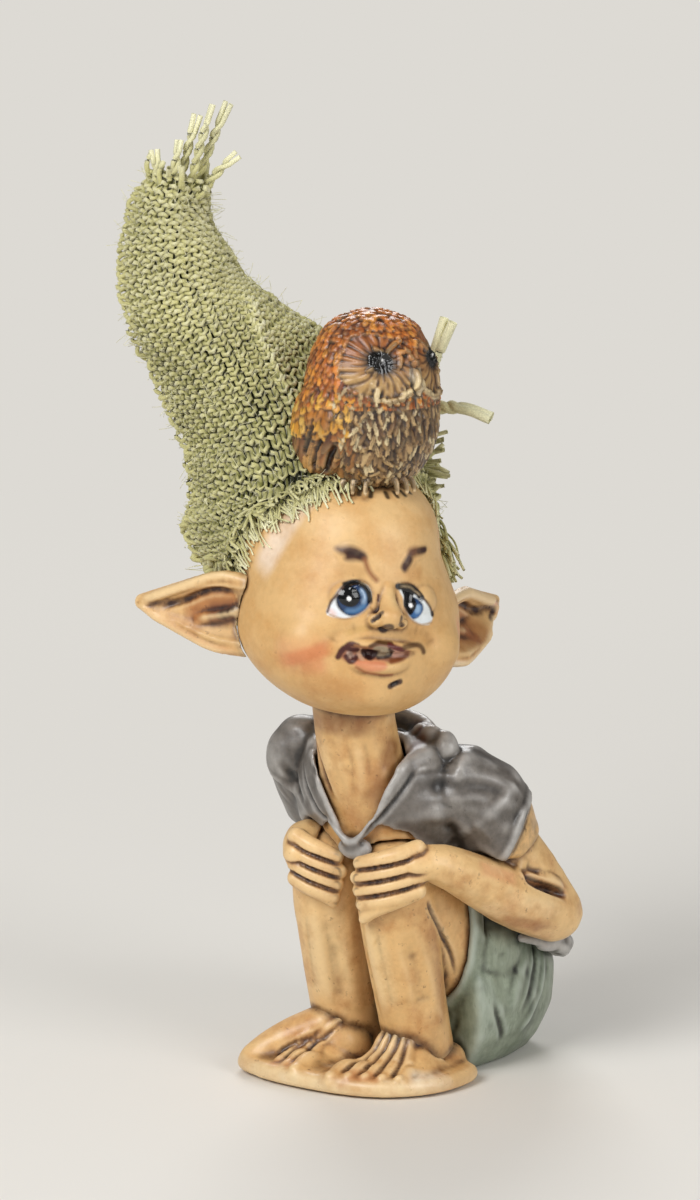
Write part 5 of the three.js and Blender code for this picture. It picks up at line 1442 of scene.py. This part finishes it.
# Knit: every course is one sage wool yarn in loops, purl side out, held by the loops above and below.
# It is pushed out in a fold that runs down the front towards the owl, with a painted highlight along it.
SEGMENTS = 10
YARN = 0.31
KNIT_IN = -0.5
FOLD_LINE = [
    (-9.6, 11.3, 50.6), (-9.3, 9.3, 48.3), (-8.8, 6.7, 45.4), (-8.0, 4.6, 42.8),
    (-7.3, 2.6, 40.5), (-7.0, 1.2, 39), (-7, -1.4, 36.2),
]
FOLD = curve_through(FOLD_LINE, 60)
FOLD_WIDE, FOLD_HIGH = 1.1, 0.9
FOLD_FACING = np.array([-0.337, -0.925, 0.174])
phase = np.linspace(0, 2 * math.pi, SEGMENTS, endpoint=False)
knit = []
chance = np.random.default_rng(5)
for course in courses:
    ring = reach[int(round(course))]
    wales = np.arange(math.ceil(ring[0] / STITCH_WIDE), math.floor(ring[-1] / STITCH_WIDE))
    t = (phase[None] + 2 * math.pi * wales[:, None]).ravel()
    slip = np.repeat(chance.normal(0, 0.07, (len(wales), 3)), SEGMENTS, axis=0)
    offset = t * STITCH_WIDE / (2 * math.pi) + 0.22 * STITCH_WIDE * np.sin(2 * t) + slip[:, 0]
    rise = 0.92 * STITCH_HIGH * np.cos(t) + slip[:, 1]
    out = KNIT_IN + 0.34 * np.cos(2 * t) + 0.6 * slip[:, 2]
    points = knit_points(np.full(len(t), course), offset, rise, out)
    off_fold = np.linalg.norm(points[:, None] - FOLD[None], axis=2).min(1)
    fold = np.exp(-((off_fold / FOLD_WIDE) ** 2))
    points += FOLD_FACING * (FOLD_HIGH * fold)[:, None]
    # Painted shade and painted highlight: each bit of yarn is darker the deeper it lies in the loops and paler
    # where it stands out, paler on the fold, and a touch paler towards the tip.
    shades = 0.38 + 0.34 * np.cos(2 * t) + 0.6 * slip[:, 2] + 0.2 * fold + 0.0004 * (course - 200)
    keep = above_rim(points) > 0.0
    for run in np.split(np.arange(len(t)), np.flatnonzero(np.diff(keep.astype(int))) + 1):
        if keep[run[0]] and len(run) > 5:
            thin = 0.05 * max(0.0, 1 - course / 260)
            knit.append((placed(points[run], HEAD), shades[run], YARN - thin))
hat_knit = tube_mesh("hat_knit", knit, 5)

# Loose yarn: the raw fringe at the tip, cut ends round the rim, stray stitches and the seam up the back.
# All are ends of the same wool, caught in the knit, with a haze of fine hairs over the whole hat.


def plied(path, pitch, spread, part):
    """Two yarns laid round each other along a path, parting by a little at its end."""
    line = curve_through(path, 40)
    run = run_along(line)
    along = unit(np.gradient(line, axis=0))
    a = unit(np.cross(along, [0.3, 0.5, 0.81]))
    b = np.cross(along, a)
    open_out = spread + part * np.clip((run / run[-1] - 0.75) / 0.25, 0, 1) ** 1.5
    made = []
    for start in (0, 0.5):
        turn = 2 * math.pi * (np.minimum(run, 0.78 * run[-1]) / pitch + start)
        made.append(line + (a * np.cos(turn)[:, None] + b * np.sin(turn)[:, None]) * open_out[:, None])
    return made


def lay(yarns, line, shades, radius):
    """Adds a yarn to a bundle: its line in the head's frame, its first and last shade, and its radius."""
    yarns.append((placed(line, HEAD), np.linspace(*shades, len(line)), radius))


def bent(start, end, loose, count, lift=(0, 0, 0)):
    """A short end of yarn, bowed by chance."""
    bend = 0.5 * (start + end) + lift + chance.normal(0, loose, 3)
    return curve_through([start, bend, end], count)


HAT_TOP = HAT_SPINE[-1, :3]
FRINGE = (
    ((-2.6, 0.4), (-3, 1, 4)),
    ((-1.3, -1), (0, -0.1, 5.2)),
    ((0, 0.9), (2.2, -0.8, 8.4)),
    ((0.6, -1.4), (4, -1.5, 9.7)),
    ((2.2, 1.1), (5.9, -2.2, 9.9)),
    ((2.6, -0.4), (7, -2.6, 3.4)),
)
loose = []
for (x, y), tip in FRINGE:
    root = np.array([x, y, -2.4])
    tip = np.array(tip) - (0, 0, 0.5)
    middle = 0.5 * (root + tip) + (0, 0, 0.5)
    for line in plied(HAT_TOP + [root, middle, tip], 4.2, 0.33, 0.1):
        lay(loose, line, (0.5, 1.0), 0.34)
for _ in range(14):
    angle = chance.uniform(0, 2 * math.pi)
    root = hat_point(chance.uniform(380, 397), angle, -0.3)
    tip = root + (chance.normal(1.0, 0.8), chance.normal(-0.4, 0.8), chance.uniform(1.6, 3.2))
    lay(loose, bent(root, tip, 0.3, 10), (0.45, 0.85), 0.34)
for angle in np.radians(np.arange(0, 360, 4)):
    column = hat_points(row_numbers, np.full(HAT_ROWS, angle), 0)
    for row in np.flatnonzero(np.diff(np.sign(above_rim(column))) > 0):
        for _ in range(3):
            start = hat_point(row + 8.0, angle + chance.normal(0, 0.04), -0.4)
            end_row = max(0.0, row - chance.uniform(-3, 4))
            end = hat_point(end_row, angle + chance.normal(0, 0.1), chance.uniform(-0.9, 0.2))
            lay(loose, bent(start, end, 0.25, 8), (0.45, 0.75), chance.uniform(0.1, 0.24))
BESIDE_OWL = ((13.1, 2.9, 33.4), (13.6, 2.3, 32), (13.0, 2.3, 30.5), (13.7, 1.8, 29.1), (12.9, 1.9, 27.9),
    (12, 2, 26.9))
for tip in BESIDE_OWL:
    for _ in range(3):
        end = np.array(tip) + chance.normal(0, 0.5, 3)
        start = np.array([11.2, 6.0, 0.8 * tip[2] + 5.6]) + chance.normal(0, 0.5, 3)
        lay(loose, bent(start, end, 0.5, 10), (0.35, 0.8), 0.3)
for row in np.arange(60, 380, 5.5):
    angle = math.radians(chance.uniform(150, 178))
    stitch = ((-4, -0.6), (-2, 0.3), (1.5, 0.5), (4, -0.5))
    here = np.array([hat_point(row + up, angle, out) for up, out in stitch])
    if above_rim(here).min() > 0.5:
        lay(loose, curve_through(here + chance.normal(0, 0.15, (4, 3)), 10), (0.62, 0.62), 0.3)
seam_rows = np.arange(10, 394, 3.2)
for turn in (0, 1):
    stitch = np.arange(turn, turn + len(seam_rows))
    sway = 0.85 * (-1.0) ** stitch
    wide = np.interp(seam_rows, row_numbers, hat_wide)
    stitches = hat_points(seam_rows, SEAM + sway / wide, -0.5 + 0.3 * (stitch % 2))
    stitches = stitches[above_rim(stitches) > 0.3]
    for shade in (0.45, 0.45 + 0.2):
        wander = stitches + chance.normal(0, 0.1, stitches.shape)
        lay(loose, curve_through(wander, 6 * len(stitches)), (shade, shade), 0.36)
hat_loose = tube_mesh("hat_loose_yarn", loose, 6)

fuzz = []
for _ in range(1500):
    row, angle = chance.uniform(40, 398), chance.uniform(0, 2 * math.pi)
    root = hat_point(row, angle, -0.2)
    if above_rim(root[None])[0] < 0.3:
        continue
    out = hat_point(row, angle, 0.8) - root
    drift = chance.normal(0, 0.7, 3)
    hair = [root, root + 0.6 * out + 0.5 * drift, root + 0.9 * out + 1.2 * drift]
    lay(fuzz, curve_through(hair, 5), (0.9, 0.9), 0.035)
hat_fuzz = tube_mesh("hat_wool_fuzz", fuzz, 3)

# Rim: the lowest rows are glued down, so they are drawn in until they lie on the scalp.
# Cloth, loops and loose ends move together, each with the nearest point of the cloth.
RIM_BAND = 9
SCALP_GAP = 1.1
rim_points = points_of(hat_cloth)
height = above_rim(in_frame(hat_cloth, HEAD))
drawn_in = np.zeros_like(rim_points)
for v in np.flatnonzero(height < RIM_BAND):
    on_scalp, _, _, gap = head_tree.find_nearest(rim_points[v])
    pull = max(0.0, gap - SCALP_GAP * MM) * (1 - max(0.0, height[v]) / RIM_BAND) ** 1.2
    drawn_in[v] = (np.array(on_scalp) - rim_points[v]) / gap * pull
finder = finder_of(rim_points)
for piece in (hat_cloth, hat_knit, hat_loose, hat_fuzz):
    co = points_of(piece)
    for v in np.flatnonzero(above_rim(in_frame(piece, HEAD)) < RIM_BAND + 1):
        co[v] += drawn_in[finder.find(co[v])[1]]
    move_points(piece, co)

# Frayed rim: pale felted threads of the same wool that have worked loose from the glued rows.
# They lie on the scalp beyond the rim, and hang over the far temple.
AWAY = np.array([0, -0.731, -0.682])
rim_local = in_frame(hat_cloth, HEAD)
rim_places = rim_local[(above_rim(rim_local) < 3.4) & (rim_local[:, 1] < 9)]
fray = []
for _ in range(620):
    at = rim_places[chance.integers(len(rim_places))] + chance.normal(0, 0.5, 3)
    stride = 0.75 if at[0] < 0 else 0.55
    steps = int(chance.integers(4, 8))
    heading = AWAY + chance.normal(0, 0.55, 3)
    trail = []
    for step in range(steps):
        on_scalp, facing, _, _ = head_tree.find_nearest(HEAD @ Vector(at) * MM)
        facing = np.array(HEAD.to_3x3().inverted() @ facing)
        lift = 0.9 * (1 - step / steps) + 0.12
        trail.append(np.array(HEAD.inverted() @ (on_scalp / MM)) + facing * lift)
        heading = heading - facing * (heading @ facing) + chance.normal(0, 0.22, 3)
        heading /= np.linalg.norm(heading)
        at = trail[-1] + heading * stride
    line = curve_through(trail, 2 * steps)
    lay(fray, line, (0.5, chance.uniform(0.7, 1.1)), chance.uniform(0.07, 0.17))
FAR_TEMPLE = (
    (11.2, 1.0, 25.4), (11.3, 0.6, 23.6), (11.6, 0.2, 21.6), (12.4, -0.4, 20.0),
    (13.3, -0.8, 18.6), (13.8, -1.2, 17.4), (13.1, -1.6, 16.2), (12.4, -1.6, 15.4),
)
for tip in FAR_TEMPLE:
    for _ in range(9):
        end = np.array(tip) + chance.normal(0, 0.5, 3)
        start = np.array([10.8, 3.4, 0.5 * tip[2] + 13.5]) + chance.normal(0, 0.6, 3)
        line = bent(start, end, 0.3, 12, (0.6, 0, 0))
        lay(fray, line, (0.15, chance.uniform(0.4, 0.95)), chance.uniform(0.12, 0.27))
hat_fray = tube_mesh("hat_frayed_rim", fray, 5)

# Yarn tails: two cut ends of the same yarn that stand out from under the hat beside the owl.
# Each is two plies twisted together, caught under the hat, and parts a little at the cut.
TAILS = {
    "upper_yarn_tail": ([(0.1, 1.6, 0.43), (1.05, 0.88, 0.49), (1.19, 0.68, 0.64), (1.4, 0.51, 0.9)],
        0.42, 0.3),
    "lower_yarn_tail": ([(0.1, 1.4, 0.24), (1.05, 0.8, 0.38), (1.53, 0.32, 0.41), (1.9, 0.02, 0.36)], 0.3, 0.1),
}
tails = []
for name, (route, spread, part) in TAILS.items():
    twist = []
    for line in plied(np.array(route) * OWL_SIZE + OWL_FOOT, 3.0, spread, part):
        lay(twist, line, (0.5, 0.95), 0.62)
    tail = tube_mesh(name + "_twist", twist, 8)
    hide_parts(name)
    tails.append(tail)

# Wool: soft spun yarn in sage green, matt, with a pale bloom of loose fibres; the dark end of its shades is
# painted shade in the depths of the knit.
# A real fibre is near 0.03 mm thick, too fine to show, so fibres are drawn at FIBRE_MM.
wool = bpy.data.materials.new("sage_wool_yarn")
wool.use_nodes = True
tree = wool.node_tree
tree.nodes.clear()
at = add(tree, "TexCoord", out="Object")
depth = add(tree, "Attribute", out="Fac", attribute_name="tint_and_shade")
CLOUD_MM, FIBRE_MM = 6, 0.16
cloud = add(tree, "TexNoise", {"Vector": at, "Scale": 1 / (CLOUD_MM * MM), "Detail": 3})
fibre = add(tree, "TexNoise", {"Vector": at, "Scale": 1 / (FIBRE_MM * MM), "Detail": 3, "Roughness": 0.7})
shade = add(tree, "ValToRGB", {"Fac": depth})
ramp = shade.node.color_ramp
ramp.elements[0].color = linear("#2E3116")
ramp.elements[1].color = linear("#EFECC8")
ramp.elements.new(0.12).color = linear("#77763C")
ramp.elements.new(0.6).color = linear("#C6C188")
for value, low, high in ((cloud, 0.88, 1.1), (fibre, 0.8, 1.18)):
    level = add(tree, "MapRange", {"Value": value, "From Min": 0.3, "From Max": 0.7, "To Min": low,
        "To Max": high})
    shade = add(tree, "Mix", {0: 1.0, 6: shade, 7: level}, **STAIN)
bump = add(tree, "Bump", {"Height": fibre, "Strength": 0.7, "Distance": 0.1 * MM})
look = {"Base Color": shade, "Roughness": 0.95, "Normal": bump, "Specular IOR Level": 0.15}
shader = add(tree, "BsdfPrincipled", {**look, "Sheen Weight": 0.35, "Sheen Roughness": 0.5})
add(tree, "OutputMaterial", {"Surface": shader})
cloth_local = in_frame(hat_cloth, HEAD)
behind = cloth_local - hat_centre[np.abs(hat_centre[None, :, 2] - cloth_local[:, None, 2]).argmin(1)]
back_facing = hat_point(200.0, SEAM, 0) - hat_centre[200]
share = behind @ back_facing / np.linalg.norm(behind, axis=1) / np.linalg.norm(back_facing)
# Painted shade: the backing is darkest at the front, where it stands for the shade between the loops, and paler
# towards the back.
write_layer(hat_cloth, "tint_and_shade", 0.3 * np.clip((share + 0.1) / 0.5, 0, 1))
for piece in (hat_cloth, hat_knit, hat_loose, hat_fuzz, hat_fray, *tails):
    piece.data.materials.append(wool)
    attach(piece, "root")
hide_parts("hat")

# Brown wash: when the castings are glued up the whole figure is flooded with thin dark paint and wiped,
# so it stays in each hollow and along each glue line, and the high places come up pale. The same dark layer
# also carries painted shade: it darkens the broad dips and every place where two pieces lie close.
painted = [feet_plate, *legs.values(), trousers, neck, *arms.values(), shirt, head, *ears.values(), owl]
boxes = {p.name: (points_of(p).min(0), points_of(p).max(0)) for p in painted}
trees = {p.name: tree_of(p) for p in painted}
CONTACT = 1.0 * MM
DRY_BRUSH = {"owl_casting": 0.3, "head_casting": 0.35}


def relaxed(values, edges, rounds):
    """Values of the points evened out along the edges."""
    count = len(values)
    degree = np.bincount(edges.ravel(), minlength=count)[:, None]
    near, far = edges.T
    for _ in range(rounds):
        columns = [np.bincount(near, v[far], count) + np.bincount(far, v[near], count) for v in values.T]
        values = 0.5 * values + 0.5 * np.stack(columns, axis=1) / degree
    return values


def taken(bend, gain, start, most):
    """How strongly a hollow or a rise takes paint once it is past a start."""
    return np.clip(bend * gain - start, 0, most)


for piece in painted:
    co, normals = points_of(piece), normals_of(piece)
    edges = np.empty(len(piece.data.edges) * 2, np.int32)
    piece.data.edges.foreach_get("vertices", edges)
    edges = edges.reshape(-1, 2)
    soft = relaxed(co, edges, 8)
    fine = ((soft - co) * normals).sum(1) / MM
    broad = ((relaxed(soft, edges, 60) - co) * normals).sum(1) / MM
    contact_wash_and_shade = np.zeros(len(co))
    for other in painted:
        if other is piece:
            continue
        low, high = boxes[other.name]
        near = np.flatnonzero(((co > low - CONTACT) & (co < high + CONTACT)).all(1))
        for v in near:
            gap = trees[other.name].find_nearest(co[v], CONTACT)[3]
            if gap is not None:
                contact_wash_and_shade[v] = max(contact_wash_and_shade[v], 1 - gap / CONTACT)
    # The dark layer here is real wash and painted shade both: fine hollows, broad dips, and other pieces within
    # CONTACT.
    wash_and_shade = taken(fine, 14, 0.05, 1) + taken(broad, 1.6, 0.08, 0.6) + contact_wash_and_shade**1.5 * 0.9
    rub = taken(-fine, 12, 0.1, 0.7) + taken(-broad, 1.2, 0.15, 0.25)
    if piece is shirt:
        rub *= 1 - below_hem
    if piece is head:
        wash_and_shade *= 1 - 0.85 * hand_painted
        rub *= 1 - hand_painted
    rub = np.clip(rub, 0, 0.8) * DRY_BRUSH.get(piece.name, 1.0)
    values = relaxed(np.stack([np.clip(wash_and_shade, 0, 1), rub], axis=1), edges, 2)
    for name, column in (("wash_and_shade", 0), ("rub", 1)):
        write_layer(piece, name, values[:, column])

# Stage: a plain pale board and soft studio light, with the camera where the photograph was taken.
# Seen from the camera the board runs out into one even pale tone.
bpy.ops.object.select_all(action="DESELECT")
bpy.ops.mesh.primitive_plane_add(size=12, location=(0, 0, -0.0002))
table = bpy.context.object
table.name = "table_top"
top = bpy.data.materials.new("pale_matt_board")
top.use_nodes = True
tree = top.node_tree
board = tree.nodes["Principled BSDF"]
board.inputs["Base Color"].default_value = linear("#E4E1DB")
board.inputs["Roughness"].default_value = 0.8
spot = add(tree, "TexCoord", out="Object")
far = add(tree, "VectorMath", {0: spot}, out="Value", operation="LENGTH")
fade = add(tree, "MapRange", {"Value": far, "From Min": 0.12, "From Max": 0.5}, interpolation_type="SMOOTHSTEP")
seen = add(tree, "LightPath", out="Is Camera Ray")
plain = add(tree, "Math", {0: fade, 1: seen}, operation="MULTIPLY")
pale = add(tree, "Emission", {"Color": linear("#DDDAD4"), "Strength": 1.0})
both = add(tree, "MixShader", {0: plain, 1: board.outputs[0], 2: pale})
tree.links.new(both, tree.nodes["Material Output"].inputs["Surface"])
table.data.materials.append(top)


def soft_box(name, at, aim, size, power):
    lamp = bpy.data.lights.new(name, "AREA")
    lamp.size = size
    lamp.energy = power
    holder = bpy.data.objects.new(name, lamp)
    holder.location = at
    holder.rotation_euler = (Vector(aim) - Vector(at)).to_track_quat("-Z", "Y").to_euler()
    bpy.context.scene.collection.objects.link(holder)


soft_box("key_light", (0.0, -0.75, 0.6), (0, 0, 0.06), 0.45, 6.2)
soft_box("fill_light", (0.75, -0.1, 0.35), (0, 0, 0.06), 0.4, 2.5)
soft_box("back_light", (-0.5, 0.6, 0.55), (0, 0, 0.07), 0.4, 3)
world = bpy.data.worlds.new("studio")
bpy.context.scene.world = world
world.use_nodes = True
sky = world.node_tree.nodes["Background"]
sky.inputs["Color"].default_value = linear("#E8E6E2")
seen = add(world.node_tree, "LightPath", out="Is Camera Ray")
level = add(world.node_tree, "MapRange", {"Value": seen, "To Min": 0.3, "To Max": 0.95})
world.node_tree.links.new(level, sky.inputs["Strength"])
view = bpy.data.cameras.new("photo_camera")
view.lens = 150
view.sensor_width = 36
camera = bpy.data.objects.new("photo_camera", view)
bpy.context.scene.collection.objects.link(camera)
right, rise, away = Vector((0.788, 0.616, 0)), Vector((-0.107, 0.137, 0.985)), Vector((0.606, -0.776, 0.174))
turned = Matrix((right, rise, away)).transposed().to_4x4()
camera.matrix_world = Matrix.Translation((0.38398, -0.49887, 0.17304)) @ turned
bpy.context.scene.camera = camera
bpy.context.scene.view_settings.view_transform = "Standard"
